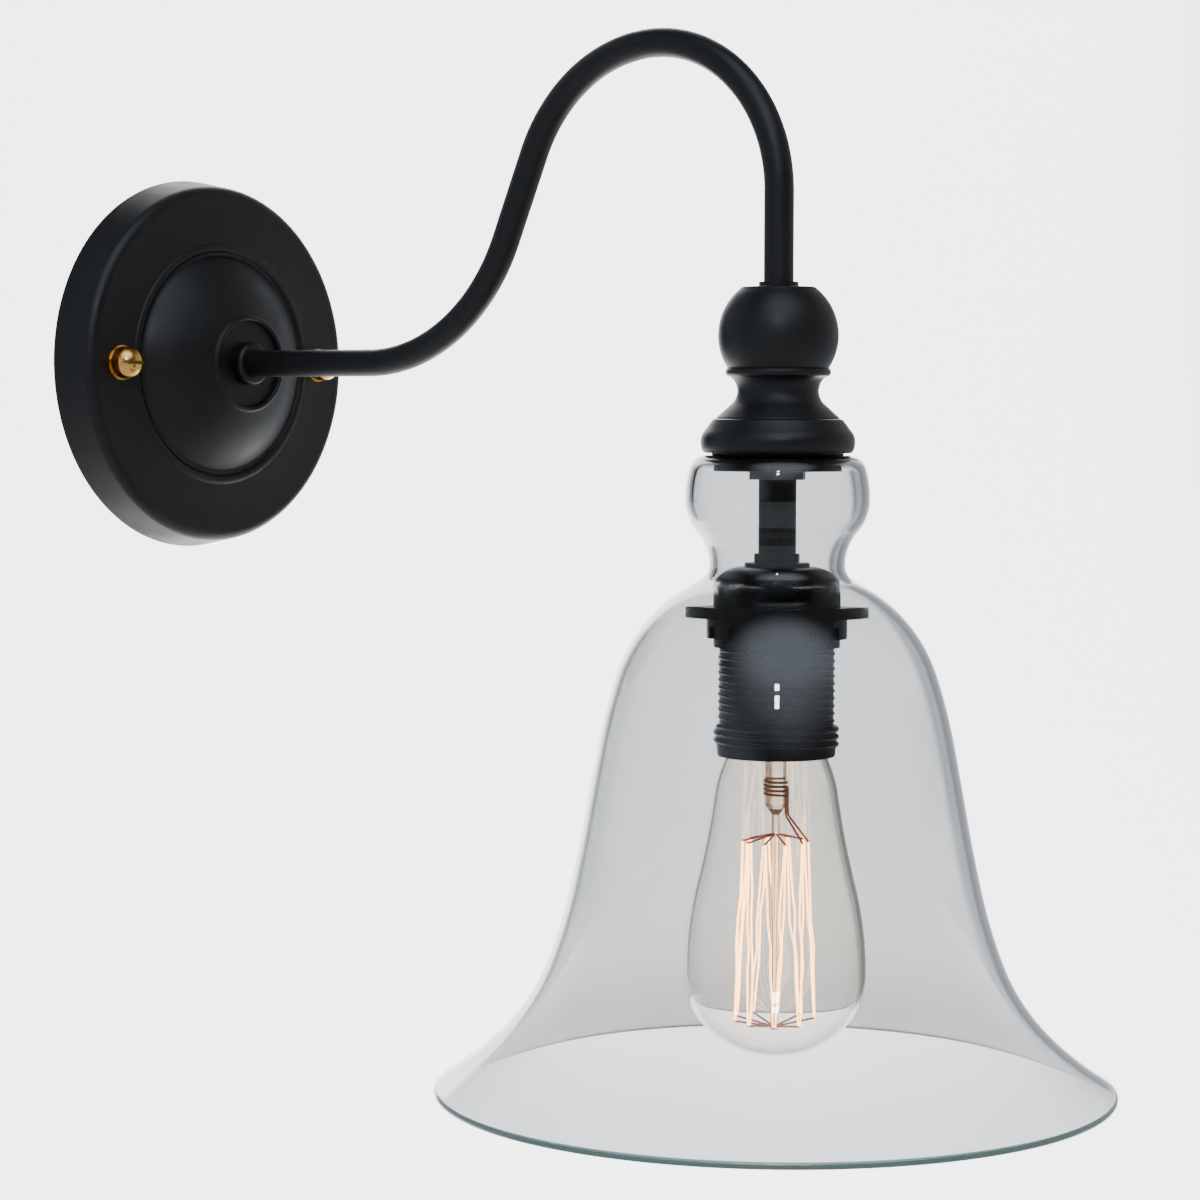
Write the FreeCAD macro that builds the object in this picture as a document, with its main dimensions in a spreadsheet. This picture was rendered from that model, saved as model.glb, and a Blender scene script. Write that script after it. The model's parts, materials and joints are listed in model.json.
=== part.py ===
"""Wall light: round canopy, gooseneck arm, turned cap and a clear glass bell round a cage lamp.

Lengths are millimetres. The origin is the centre of the canopy's back edge on the wall, the wall
is the plane y = 0, the light stands out towards -Y and +Z is up.
"""
import FreeCAD
import Part
import math
import os
from types import SimpleNamespace

import Sketcher
from FreeCAD import Placement, Rotation, Vector

SIZES = {
    # Wall canopy: a spun steel dish with a beaded dome.
    "canopy_face_dia": 129.4,
    "canopy_taper": 2.3,
    "canopy_depth": 16.0,
    "canopy_sheet": 1.2,
    "canopy_edge_round": 4.0,
    "dome_base_dia": 79.0,
    "dome_rise": 16.6,
    "bead_gap": 0.8,
    "bead_width": 3.4,
    "bead_radius": 2.0,
    "boss_ring_dia": 33.0,
    "boss_ring_width": 1.8,
    "boss_ring_height": 0.9,
    "boss_recess": 0.8,
    # Wall bracket, its studs and the brass nuts that hold the canopy on it.
    "bracket_end": 7.0,
    "bracket_width": 22.0,
    "bracket_thickness": 2.0,
    "bracket_corner": 5.0,
    "bracket_cable_hole": 12.0,
    "wall_slot_spacing": 70.0,
    "wall_slot_width": 5.0,
    "wall_slot_travel": 10.0,
    "stud_dia": 4.0,
    "stud_length": 21.0,
    "stud_recess": 0.2,
    "stud_chamfer": 0.4,
    "stud_hole_clearance": 0.3,
    "stud_nut_flats": 7.0,
    "stud_nut_height": 3.2,
    "brass_washer_dia": 12.4,
    "brass_washer_thickness": 0.8,
    "brass_washer_clearance": 0.1,
    "brass_nut_dia": 11.4,
    "brass_nut_flange": 3.0,
    "brass_nut_neck_dia": 8.6,
    "brass_nut_neck": 1.2,
    "brass_nut_dome": 4.2,
    "brass_nut_slot": 1.2,
    "brass_nut_slot_depth": 1.4,
    "brass_nut_crown": 1.0,
    "earth_screw_offset": 22.0,
    "earth_screw_dia": 3.5,
    "earth_screw_head_dia": 7.0,
    "earth_screw_head": 2.2,
    "earth_screw_length": 1.8,
    "screw_edge": 0.8,
    "screw_slot": 0.8,
    # Connector block on the bracket.
    "block_length": 20.0,
    "block_width": 11.0,
    "block_height": 12.0,
    "block_pitch": 9.0,
    "block_screw_dia": 4.0,
    "block_screw_height": 3.0,
    "block_screw_recess": 0.6,
    "block_screw_clearance": 0.1,
    "block_wire_clearance": 0.2,
    # Gooseneck arm.
    "arm_dia": 9.5,
    "arm_wall": 1.0,
    "arm_inner_end": 21.0,
    "arm_bend_start": 89.5,
    "arm_bend_radius": 68.5,
    "arm_rise_angle": 66.5,
    "arm_rise_length": 31.0,
    "arch_rise_radius": 56.0,
    "arch_fall_radius": 50.0,
    "arm_drop": 28.6,
    "arm_in_cap": 16.0,
    "arm_bush_dia": 15.4,
    "arm_bush_height": 4.4,
    "arm_bush_round": 1.6,
    "arm_washer_dia": 22.0,
    "arm_washer_thickness": 1.0,
    "arm_nut_flats": 14.0,
    "arm_nut_height": 4.0,
    "thread_clearance": 0.05,
    # Turned cap over the glass.
    "cap_collar_dia": 12.6,
    "cap_collar_height": 1.6,
    "cap_height": 52.6,
    "cap_flat_dia": 23.0,
    "cap_ball_dia": 38.4,
    "cap_bead_dia": 32.4,
    "cap_bead_height": 2.6,
    "cap_bead_radius": 1.5,
    "cap_neck_dia": 30.6,
    "cap_waist_height": 9.2,
    "cap_waist_radius": 5.6,
    "cap_flare_dia": 39.4,
    "cap_step_height": 10.6,
    "cap_step_width": 1.0,
    "cap_skirt_top_dia": 46.4,
    "cap_skirt_top": 7.2,
    "cap_skirt_dia": 49.2,
    "cap_skirt_middle": 3.2,
    "cap_skirt_radius": 5.2,
    "cap_foot_dia": 47.6,
    # Hollow threaded rod, sleeve and nuts that carry the socket.
    "rod_dia": 10.0,
    "rod_bore": 6.8,
    "rod_in_cap": 34.0,
    "rod_in_socket": 3.0,
    "sleeve_dia": 12.0,
    "sleeve_length": 23.0,
    "retainer_dia": 41.0,
    "retainer_thickness": 1.5,
    "retainer_nut_flats": 17.0,
    "retainer_nut_height": 3.0,
    "socket_nut_flats": 13.8,
    "socket_nut_height": 3.2,
    # Glass bell.
    "gasket_thickness": 0.7,
    "gasket_dia": 42.0,
    "glass_wall": 2.6,
    "glass_hole_dia": 12.0,
    "glass_top_dia": 44.6,
    "globe_dia": 59.0,
    "globe_drop": 14.0,
    "neck_dia": 43.4,
    "neck_drop": 35.2,
    "collar_dia": 61.4,
    "collar_drop": 43.4,
    "collar_slope": 33.0,
    "shoulder_dia": 102.0,
    "shoulder_drop": 69.6,
    "shoulder_slope": 71.5,
    "side_dia": 122.6,
    "side_drop": 115.8,
    "side_slope": 79.8,
    "flare_dia": 146.2,
    "flare_drop": 162.4,
    "flare_slope": 69.0,
    "rim_dia": 220.0,
    "rim_drop": 203.2,
    "rim_slope": 31.0,
    # Lamp socket.
    "socket_top_dia": 21.0,
    "socket_top_height": 1.5,
    "socket_cap_height": 14.2,
    "socket_cap_dia": 40.6,
    "socket_dome_radius": 11.5,
    "socket_dome_flat": 2.6,
    "socket_cap_wall": 1.8,
    "socket_cap_lip": 1.0,
    "skirt_thread_dia": 40.4,
    "skirt_body_dia": 37.6,
    "skirt_upper_thread": 13.0,
    "skirt_lower_thread": 5.6,
    "skirt_length": 48.0,
    "skirt_foot": 4.2,
    "skirt_foot_dia": 37.8,
    "skirt_bore": 33.6,
    "skirt_seat": 1.2,
    "skirt_seat_width": 1.5,
    "skirt_seat_clearance": 0.05,
    "ring_clearance": 0.06,
    "ring_gap": 0.2,
    "ring_flange_dia": 58.4,
    "ring_flange": 3.4,
    "ring_collar_dia": 44.8,
    "ring_collar": 6.6,
    "ring_notch_width": 5.0,
    "ring_notch_depth": 1.6,
    "ring_notch_count": 12,
    "ring_notch_share": 0.6,
    "core_height": 7.0,
    "core_clearance": 0.1,
    "core_wire_clearance": 0.6,
    "core_terminal_spacing": 17.0,
    "terminal_width": 6.0,
    "terminal_height": 4.0,
    "terminal_screw_dia": 4.4,
    "terminal_screw_head": 1.6,
    "shell_wall": 0.5,
    "shell_length": 22.0,
    "shell_clearance": 0.08,
    "contact_width": 6.0,
    "contact_thickness": 0.5,
    "contact_drop": 2.4,
    # Lamp with a tall cage filament.
    "lamp_base_dia": 26.0,
    "lamp_base_length": 18.5,
    "lamp_base_wall": 0.4,
    "lamp_base_crimp": 1.5,
    "lamp_insulator_dia": 22.0,
    "lamp_insulator_length": 4.0,
    "lamp_insulator_rim": 1.0,
    "lamp_tip_dia": 9.0,
    "lamp_tip_length": 2.0,
    "lamp_tip_edge": 1.2,
    "lamp_tip_hole": 5.0,
    "lamp_tip_clearance": 0.05,
    "lamp_seat_gap": 0.3,
    "lamp_glass_wall": 0.8,
    "lamp_length": 134.0,
    "lamp_neck_dia": 25.0,
    "lamp_neck_in_base": 3.0,
    "lamp_neck_drop": 33.6,
    "lamp_neck_slope": 66.0,
    "lamp_throat_dia": 30.0,
    "lamp_shoulder_dia": 40.0,
    "lamp_shoulder_drop": 49.0,
    "lamp_shoulder_slope": 82.0,
    "lamp_dia": 58.6,
    "lamp_widest_drop": 107.0,
    "stem_clearance": 0.1,
    "stem_in_base": 2.0,
    "stem_flare": 1.5,
    "stem_flare_length": 9.0,
    "stem_dia": 7.0,
    "stem_length": 30.0,
    "stem_taper": 3.0,
    "stem_rod_dia": 2.6,
    "stem_rod_tail": 1.0,
    "support_wire_dia": 0.7,
    "support_rise": 3.0,
    "support_clearance": 0.15,
    "lamp_lead_grip": 6.0,
    "lamp_lead_bend": 3.0,
    "filament_wire_dia": 0.7,
    "filament_loops": 9,
    "filament_top_dia": 21.6,
    "filament_bottom_dia": 27.0,
    "filament_top_drop": 64.6,
    "filament_bottom_drop": 122.2,
    "filament_span": 330.0,
    "filament_gap_angle": -75.0,
    # Leads inside the arm.
    "lead_dia": 2.2,
    "lead_spacing": 2.6,
    "lead_bend": 2.5,
    "lead_in_block": 6.0,
    "lead_out_of_block": 1.5,
    "lead_gather": 5.5,
    "lead_below_rod": 1.7,
    "lead_above_screw": 1.6,
}


class Length:
    """A number together with the spreadsheet expression that gives it."""

    def __init__(self, value, text):
        self.value = value
        self.text = text

    def _join(self, other, sign, value):
        text = other.text if isinstance(other, Length) else repr(float(other))
        return Length(value, "(" + self.text + " " + sign + " " + text + ")")

    def __add__(self, other):
        return self._join(other, "+", self.value + number(other))

    def __sub__(self, other):
        return self._join(other, "-", self.value - number(other))

    def __rsub__(self, other):
        return Length(other - self.value, "(" + repr(float(other)) + " - " + self.text + ")")

    def __mul__(self, other):
        return self._join(other, "*", self.value * number(other))

    def __truediv__(self, other):
        return self._join(other, "/", self.value / number(other))

    def __neg__(self):
        return Length(-self.value, "(0 - " + self.text + ")")


def number(length):
    return length.value if isinstance(length, Length) else float(length)


def leg(hypotenuse, side):
    """The other short side of a right triangle."""
    value = math.sqrt(hypotenuse.value ** 2 - side.value ** 2)
    return Length(value, "sqrt(" + hypotenuse.text + "^2 - " + side.text + "^2)")


def sine(angle):
    return Length(math.sin(math.radians(angle.value)), "sin(" + angle.text + " * 1 deg)")


def cosine(angle):
    return Length(math.cos(math.radians(angle.value)), "cos(" + angle.text + " * 1 deg)")


ZERO = Length(0.0, "0")

doc = FreeCAD.newDocument("wall_light")
sheet = doc.addObject("Spreadsheet::Sheet", "Sizes")
for row, (alias, size) in enumerate(SIZES.items(), start=1):
    sheet.set("A" + str(row), alias)
    sheet.set("B" + str(row), str(size))
    sheet.setAlias("B" + str(row), alias)
doc.recompute()
S = SimpleNamespace(**{alias: Length(float(size), "Sizes." + alias) for alias, size in SIZES.items()})

sub_parts = []


# ---------------------------------------------------------------- drawing helpers

def sketch_on(body, name, plane, offset=None):
    """A sketch on one of the body's own origin planes, lifted by offset along its normal."""
    sketch = body.newObject("Sketcher::SketchObject", name)
    planes = [feature for feature in body.Origin.OriginFeatures if feature.Role == plane]
    sketch.AttachmentSupport = (planes[0], [""])
    sketch.MapMode = "FlatFace"
    if offset is not None:
        sketch.AttachmentOffset = Placement(Vector(0, 0, offset.value), Rotation())
        sketch.setExpression("AttachmentOffset.Base.z", offset.text)
    return sketch


def fix_point(sketch, edge, end, across, up):
    """Ties an edge's end to a place given by two lengths."""
    for kind, length, axis in (("DistanceX", across, -2), ("DistanceY", up, -1)):
        if abs(length.value) < 1e-9:
            sketch.addConstraint(Sketcher.Constraint("PointOnObject", edge, end, axis))
        else:
            index = sketch.addConstraint(Sketcher.Constraint(kind, -1, 1, edge, end, length.value))
            sketch.setExpression("Constraints[" + str(index) + "]", length.text)


def draw(sketch, corners, closed=True):
    """Draws an outline of lines and arcs.

    A corner is (across, up) or (across, up, radius). A radius makes the edge that leaves the
    corner an arc: positive with its centre on the left of the way along, negative on the right.
    """
    count = len(corners)
    edges = []
    for i in range(count if closed else count - 1):
        here = corners[i]
        there = corners[(i + 1) % count]
        start = Vector(here[0].value, here[1].value, 0)
        finish = Vector(there[0].value, there[1].value, 0)
        if len(here) == 2:
            edge = sketch.addGeometry(Part.LineSegment(start, finish), False)
            edges.append((edge, 1, 2))
            continue
        radius = here[2]
        chord = finish - start
        left = Vector(-chord.y, chord.x, 0).normalize()
        rise = math.sqrt(radius.value ** 2 - (chord.Length / 2) ** 2)
        side = 1 if radius.value > 0 else -1
        centre = (start + finish) * 0.5 + left * (rise * side)
        first = math.atan2(start.y - centre.y, start.x - centre.x)
        last = math.atan2(finish.y - centre.y, finish.x - centre.x)
        circle = Part.Circle(centre, Vector(0, 0, 1), abs(radius.value))
        turn = (first, last) if side > 0 else (last, first)
        edge = sketch.addGeometry(Part.ArcOfCircle(circle, *turn), False)
        edges.append((edge, 1, 2) if side > 0 else (edge, 2, 1))
        index = sketch.addConstraint(Sketcher.Constraint("Radius", edge, abs(radius.value)))
        text = radius.text if side > 0 else "(0 - " + radius.text + ")"
        sketch.setExpression("Constraints[" + str(index) + "]", text)
    for i, (edge, first_end, last_end) in enumerate(edges):
        fix_point(sketch, edge, first_end, corners[i][0], corners[i][1])
        if closed or i + 1 < len(edges):
            following = edges[(i + 1) % len(edges)]
            sketch.addConstraint(
                Sketcher.Constraint("Coincident", edge, last_end, following[0], following[1]))
        else:
            fix_point(sketch, edge, last_end, corners[-1][0], corners[-1][1])


def draw_circle(sketch, radius, across=ZERO, up=ZERO):
    """Draws a circle of a given radius round a given centre."""
    circle = Part.Circle(Vector(across.value, up.value, 0), Vector(0, 0, 1), radius.value)
    edge = sketch.addGeometry(circle, False)
    index = sketch.addConstraint(Sketcher.Constraint("Radius", edge, radius.value))
    sketch.setExpression("Constraints[" + str(index) + "]", radius.text)
    fix_point(sketch, edge, 3, across, up)


def keep(piece, label, place):
    piece.Label = label
    piece.Placement = place
    sub_parts.append(piece)
    return piece


def on_wall(distance=0.0, x=0.0, z=0.0):
    """Own +Z points away from the wall, at a distance from it."""
    return Placement(Vector(x, -distance, z), Rotation(Vector(1, 0, 0), 90))


def on_drop(level):
    """On the upright axis of the glass, at a level."""
    return Placement(Vector(0, -reach, level), Rotation())


def turned(label, corners, place):
    """A piece turned round its own Z axis from an outline of radius and height."""
    body = doc.addObject("PartDesign::Body", label)
    sketch = sketch_on(body, label + "_outline", "XZ_Plane")
    draw(sketch, corners)
    turn = body.newObject("PartDesign::Revolution", label + "_turn")
    turn.Profile = sketch
    turn.ReferenceAxis = (sketch, ["V_Axis"])
    turn.Angle = 360
    return keep(body, label, place)


def washer(label, outer, bore, thickness, place):
    """A flat ring whose underside is at its own z = 0."""
    return turned(label, [(bore / 2, ZERO), (outer / 2, ZERO), (outer / 2, thickness),
                          (bore / 2, thickness)], place)


def hexagon(sketch, flats):
    """Draws a hexagon of a given width across flats."""
    half = flats / 2
    side = flats / (2 * math.sqrt(3))
    draw(sketch, [(half, -side), (half, side), (ZERO, side * 2), (-half, side), (-half, -side),
                  (ZERO, -side * 2)])


def hex_nut(label, flats, bore, height, place):
    """A hexagon nut with a plain bore."""
    body = doc.addObject("PartDesign::Body", label)
    outline = sketch_on(body, label + "_hexagon", "XY_Plane")
    hexagon(outline, flats)
    draw_circle(outline, bore / 2)
    pad(body, label + "_pad", outline, height)
    return keep(body, label, place)


def pad(body, name, sketch, length):
    feature = body.newObject("PartDesign::Pad", name)
    feature.Profile = sketch
    feature.Length = length.value
    feature.setExpression("Length", length.text)
    return feature


def pocket_through(body, name, sketch, reversed_way=False):
    """Cuts a sketch through the whole body."""
    feature = body.newObject("PartDesign::Pocket", name)
    feature.Profile = sketch
    feature.Type = 1
    feature.Reversed = reversed_way
    return feature


def shaped(label, shape, place=Placement()):
    """A piece whose shape no sketch gives, such as glass blown along a run of arcs."""
    piece = doc.addObject("Part::Feature", label)
    piece.Shape = shape
    return keep(piece, label, place)


def heading(degrees):
    return Vector(math.cos(math.radians(degrees)), 0, math.sin(math.radians(degrees)))


def biarc(start, start_way, finish, finish_way):
    """Two tangent arcs from one point and direction to another, as points with directions."""
    chord = finish - start
    ways = start_way + finish_way
    across = chord.dot(ways)
    spread = 2 * (1 - start_way.dot(finish_way))
    if spread < 1e-9:
        reach_out = chord.dot(chord) / (4 * chord.dot(finish_way))
    else:
        root = math.sqrt(across ** 2 + spread * chord.dot(chord))
        reach_out = (root - across) / spread
    join = (start + start_way * reach_out + finish - finish_way * reach_out) * 0.5
    join_way = (finish - finish_way * reach_out - start - start_way * reach_out).normalize()
    return join, join_way


def arc_middle(start, start_way, finish, finish_way):
    """The point and direction half way along an arc that has these end directions."""
    way = (start_way + finish_way).normalize()
    chord = finish - start
    half_turn = start_way.getAngle(finish_way) / 2
    bulge = chord.Length / 2 * math.tan(half_turn / 2)
    side = (start_way - finish_way)
    if side.Length < 1e-9:
        return (start + finish) * 0.5, way
    return (start + finish) * 0.5 + side.normalize() * bulge, way


def blown_curve(nodes):
    """Arcs through nodes of (radius, height, slope), as triples of (point, direction)."""
    places = [(Vector(r, 0, z), heading(slope)) for r, z, slope in nodes]
    arcs = []
    for (start, start_way), (finish, finish_way) in zip(places, places[1:]):
        join, join_way = biarc(start, start_way, finish, finish_way)
        for a, a_way, b, b_way in ((start, start_way, join, join_way),
                                   (join, join_way, finish, finish_way)):
            arcs.append(((a, a_way), arc_middle(a, a_way, b, b_way), (b, b_way)))
    return arcs


def inward(place, wall):
    """A curve's point moved by the wall to the right of its way."""
    point, way = place
    return point + Vector(way.z, 0, -way.x) * wall


def blown_shell(arcs, wall, inner_end):
    """A glass wall of even thickness: arcs outside, the same arcs moved inwards inside."""
    edges = [Part.Arc(a[0], m[0], b[0]).toShape() for a, m, b in arcs]
    inner = [[inward(place, wall) for place in arc] for arc in arcs]
    edges.append(Part.LineSegment(arcs[-1][2][0], inner[-1][2]).toShape())
    edges += [Part.Arc(b, m, a).toShape() for a, m, b in reversed(inner)]
    points = [inner[0][0]] + inner_end + [arcs[0][0][0]]
    edges += [Part.LineSegment(p, q).toShape() for p, q in zip(points, points[1:])]
    wire = Part.Wire(Part.__sortEdges__(edges))
    return Part.Face(wire).revolve(Vector(0, 0, 0), Vector(0, 0, 1), 360)


def rounded_route(points, radii):
    """A wire of straight runs joined by tangent arcs, one radius for each inner point."""
    edges = []
    here = points[0]
    for before, corner, after, radius in zip(points, points[1:], points[2:], radii):
        way_in = (corner - before).normalize()
        way_out = (after - corner).normalize()
        turn = way_in.getAngle(way_out)
        setback = radius * math.tan(turn / 2)
        first = corner - way_in * setback
        last = corner + way_out * setback
        inside = (way_out - way_in).normalize()
        middle = corner + inside * (radius / math.cos(turn / 2) - radius)
        if (first - here).Length > 1e-6:
            edges.append(Part.LineSegment(here, first).toShape())
        edges.append(Part.Arc(first, middle, last).toShape())
        here = last
    edges.append(Part.LineSegment(here, points[-1]).toShape())
    return Part.Wire(edges)


def wire_along(route, dia):
    """A round wire along a route."""
    start = route.Edges[0]
    point = start.valueAt(start.FirstParameter)
    way = start.tangentAt(start.FirstParameter)
    circle = Part.Wire(Part.Circle(point, way, dia / 2).toShape())
    return route.makePipeShell([circle], True, False)


# ---------------------------------------------------------------- arm path

rise_sin = sine(S.arm_rise_angle)
rise_cos = cosine(S.arm_rise_angle)
bend_end = (S.arm_bend_start + S.arm_bend_radius * rise_sin, S.arm_bend_radius * (1 - rise_cos))
rise_end = (bend_end[0] + S.arm_rise_length * rise_cos, bend_end[1] + S.arm_rise_length * rise_sin)
arch_top = (rise_end[0] + S.arch_rise_radius * rise_sin,
            rise_end[1] + S.arch_rise_radius * (1 - rise_cos))
arch_end = (arch_top[0] + S.arch_fall_radius, arch_top[1] - S.arch_fall_radius)
reach = arch_end[0].value
collar_level = arch_end[1] - S.arm_drop
arm_end = collar_level - S.arm_in_cap

# Places on the wall: the dome's bead, then the washer beside it, which sets the studs.
dome_edge = S.dome_base_dia / 2
bead_edge = dome_edge + S.bead_gap + S.bead_width
stud_x = bead_edge + S.brass_washer_clearance + S.brass_washer_dia / 2

# Levels down the upright axis of the glass.
cap_top = (collar_level - S.cap_collar_height).value
cap_foot = cap_top - S.cap_height.value
glass_top = cap_foot - S.gasket_thickness.value
retainer_top = glass_top - S.glass_wall.value - S.gasket_thickness.value
retainer_foot = retainer_top - S.retainer_thickness.value
sleeve_top = retainer_foot - S.retainer_nut_height.value
sleeve_foot = sleeve_top - S.sleeve_length.value
socket_top = sleeve_foot - S.socket_nut_height.value
skirt_top = socket_top - S.socket_cap_height.value
skirt_foot = skirt_top - S.skirt_length.value
rod_foot = socket_top - S.rod_in_socket.value
ring_foot = skirt_top - (S.ring_gap + S.ring_flange + S.ring_collar).value
core_foot = skirt_top - S.skirt_seat.value - S.core_height.value
lamp_top = core_foot - S.contact_drop.value - S.contact_thickness.value - S.lamp_seat_gap.value
base_drop = (S.lamp_tip_length + S.lamp_tip_clearance + S.lamp_insulator_length
             + S.lamp_base_length)


# ---------------------------------------------------------------- wall canopy and its fixings

def make_canopy():
    face = S.canopy_face_dia / 2
    back = face + S.canopy_taper
    depth = S.canopy_depth
    sheet_t = S.canopy_sheet
    edge = S.canopy_edge_round
    inner_edge = edge - sheet_t
    dome = dome_edge
    dome_radius = (dome * dome + S.dome_rise * S.dome_rise) / (S.dome_rise * 2)
    centre = depth + S.dome_rise - dome_radius
    ring_out = S.boss_ring_dia / 2 + S.boss_ring_width / 2
    ring_in = S.boss_ring_dia / 2 - S.boss_ring_width / 2
    ring_foot = centre + leg(dome_radius, ring_out)
    ring_top = ring_foot + S.boss_ring_height
    land = ring_foot - S.boss_recess
    hole = S.arm_dia / 2 + S.thread_clearance
    bead_in = dome + S.bead_gap
    inner_radius = dome_radius - sheet_t
    inner_start = leg(inner_radius, depth - sheet_t - centre)
    land_under = land - sheet_t
    inner_top = leg(inner_radius, land_under - centre)
    corners = [
        (back, ZERO), (face, depth - edge, edge), (face - edge, depth),
        (bead_edge, depth, S.bead_radius), (bead_in, depth), (dome, depth, dome_radius),
        (ring_out, ring_foot), (ring_out, ring_top), (ring_in, ring_top), (ring_in, land),
        (hole, land), (hole, land_under), (inner_top, land_under, -inner_radius),
        (inner_start, depth - sheet_t), (face - edge, depth - sheet_t, -inner_edge),
        (face - sheet_t, depth - edge), (back - sheet_t, ZERO)]
    body = turned("wall_canopy", corners, on_wall())
    holes = sketch_on(body, "canopy_stud_holes", "XY_Plane")
    for side in (-1, 1):
        draw_circle(holes, S.stud_dia / 2 + S.stud_hole_clearance, stud_x * side)
    pocket_through(body, "canopy_stud_pocket", holes, True)
    return land.value


def make_bracket():
    body = doc.addObject("PartDesign::Body", "wall_bracket")
    outline = sketch_on(body, "bracket_outline", "XY_Plane")
    half = stud_x + S.bracket_end
    side = S.bracket_width / 2
    corner = S.bracket_corner
    draw(outline, [(half, -side + corner), (half, side - corner, corner), (half - corner, side),
                   (-half + corner, side, corner), (-half, side - corner),
                   (-half, -side + corner, corner), (-half + corner, -side),
                   (half - corner, -side, corner)])
    draw_circle(outline, S.bracket_cable_hole / 2)
    for way in (-1, 1):
        draw_circle(outline, S.stud_dia / 2 + S.thread_clearance, stud_x * way)
        middle = S.wall_slot_spacing / 2 * way
        long_half = S.wall_slot_travel / 2
        narrow = S.wall_slot_width / 2
        draw(outline, [
            (middle + long_half, -narrow, narrow), (middle + long_half + narrow, ZERO, narrow),
            (middle + long_half, narrow), (middle - long_half, narrow, narrow),
            (middle - long_half - narrow, ZERO, narrow), (middle - long_half, -narrow)])
    draw_circle(outline, S.earth_screw_dia / 2 + S.thread_clearance, S.earth_screw_offset)
    pad(body, "bracket_strip", outline, S.bracket_thickness)
    keep(body, "wall_bracket", on_wall())


def make_studs():
    """Two threaded studs as one node: they are the same fastener."""
    shapes = []
    for side in (-1, 1):
        stud = Part.makeCylinder(S.stud_dia.value / 2, S.stud_length.value)
        stud = stud.makeChamfer(S.stud_chamfer.value, [stud.Edges[0], stud.Edges[2]])
        stud.translate(Vector(side * stud_x.value, 0, 0))
        shapes.append(stud)
    shaped("canopy_studs", Part.makeCompound(shapes), on_wall(S.stud_recess.value))


def hex_prism(flats, bore, height):
    corner = flats / math.sqrt(3)
    points = [Vector(corner * math.cos(math.radians(a)), corner * math.sin(math.radians(a)), 0)
              for a in range(0, 361, 60)]
    prism = Part.Face(Part.makePolygon(points)).extrude(Vector(0, 0, height))
    return prism.cut(Part.makeCylinder(bore / 2, height))


def make_stud_nuts():
    shapes = []
    for side in (-1, 1):
        nut = hex_prism(S.stud_nut_flats.value, S.stud_dia.value + 2 * S.thread_clearance.value,
                        S.stud_nut_height.value)
        nut.translate(Vector(side * stud_x.value, 0, 0))
        shapes.append(nut)
    shaped("stud_locknuts", Part.makeCompound(shapes), on_wall(S.bracket_thickness.value))


def make_brass_fixings():
    x = stud_x.value
    bore = S.stud_dia / 2 + S.thread_clearance
    front = S.canopy_depth.value
    nut_foot = front + S.brass_washer_thickness.value + S.thread_clearance.value
    top = S.brass_nut_flange + S.brass_nut_neck + S.brass_nut_dome
    outer = S.brass_nut_dia / 2
    neck = S.brass_nut_neck_dia / 2
    shoulder = S.brass_nut_flange + S.brass_nut_neck
    dome_radius = (outer * outer + S.brass_nut_dome * S.brass_nut_dome) / (S.brass_nut_dome * 2)
    hollow = top - S.brass_nut_slot_depth - S.brass_nut_crown
    for name, side in (("left", -1), ("right", 1)):
        washer("brass_washer_" + name, S.brass_washer_dia, S.stud_dia + S.stud_hole_clearance * 2,
               S.brass_washer_thickness, on_wall(front, side * x))
        label = "brass_nut_" + name
        body = turned(label, [
            (bore, ZERO), (outer, ZERO), (outer, S.brass_nut_flange),
            (neck, S.brass_nut_flange), (neck, shoulder), (outer, shoulder, dome_radius),
            (ZERO, top), (ZERO, hollow), (bore, hollow)], on_wall(nut_foot, side * x))
        slot = sketch_on(body, label + "_slot", "XY_Plane", top)
        half = S.brass_nut_slot / 2
        draw(slot, [(outer * 1.2, -half), (outer * 1.2, half), (-outer * 1.2, half),
                    (-outer * 1.2, -half)])
        cut = body.newObject("PartDesign::Pocket", label + "_slot_cut")
        cut.Profile = slot
        cut.Length = S.brass_nut_slot_depth.value
        cut.setExpression("Length", S.brass_nut_slot_depth.text)


def make_earth_screw():
    shank = S.earth_screw_dia / 2
    head = S.earth_screw_head_dia / 2
    under = S.earth_screw_length
    top = under + S.earth_screw_head
    turned("earth_screw", [(ZERO, ZERO), (shank, ZERO), (shank, under), (head, under),
                           (head, top - S.screw_edge), (head - S.screw_edge, top), (ZERO, top)],
           on_wall(S.bracket_thickness.value - S.earth_screw_length.value,
                   S.earth_screw_offset.value))


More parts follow.
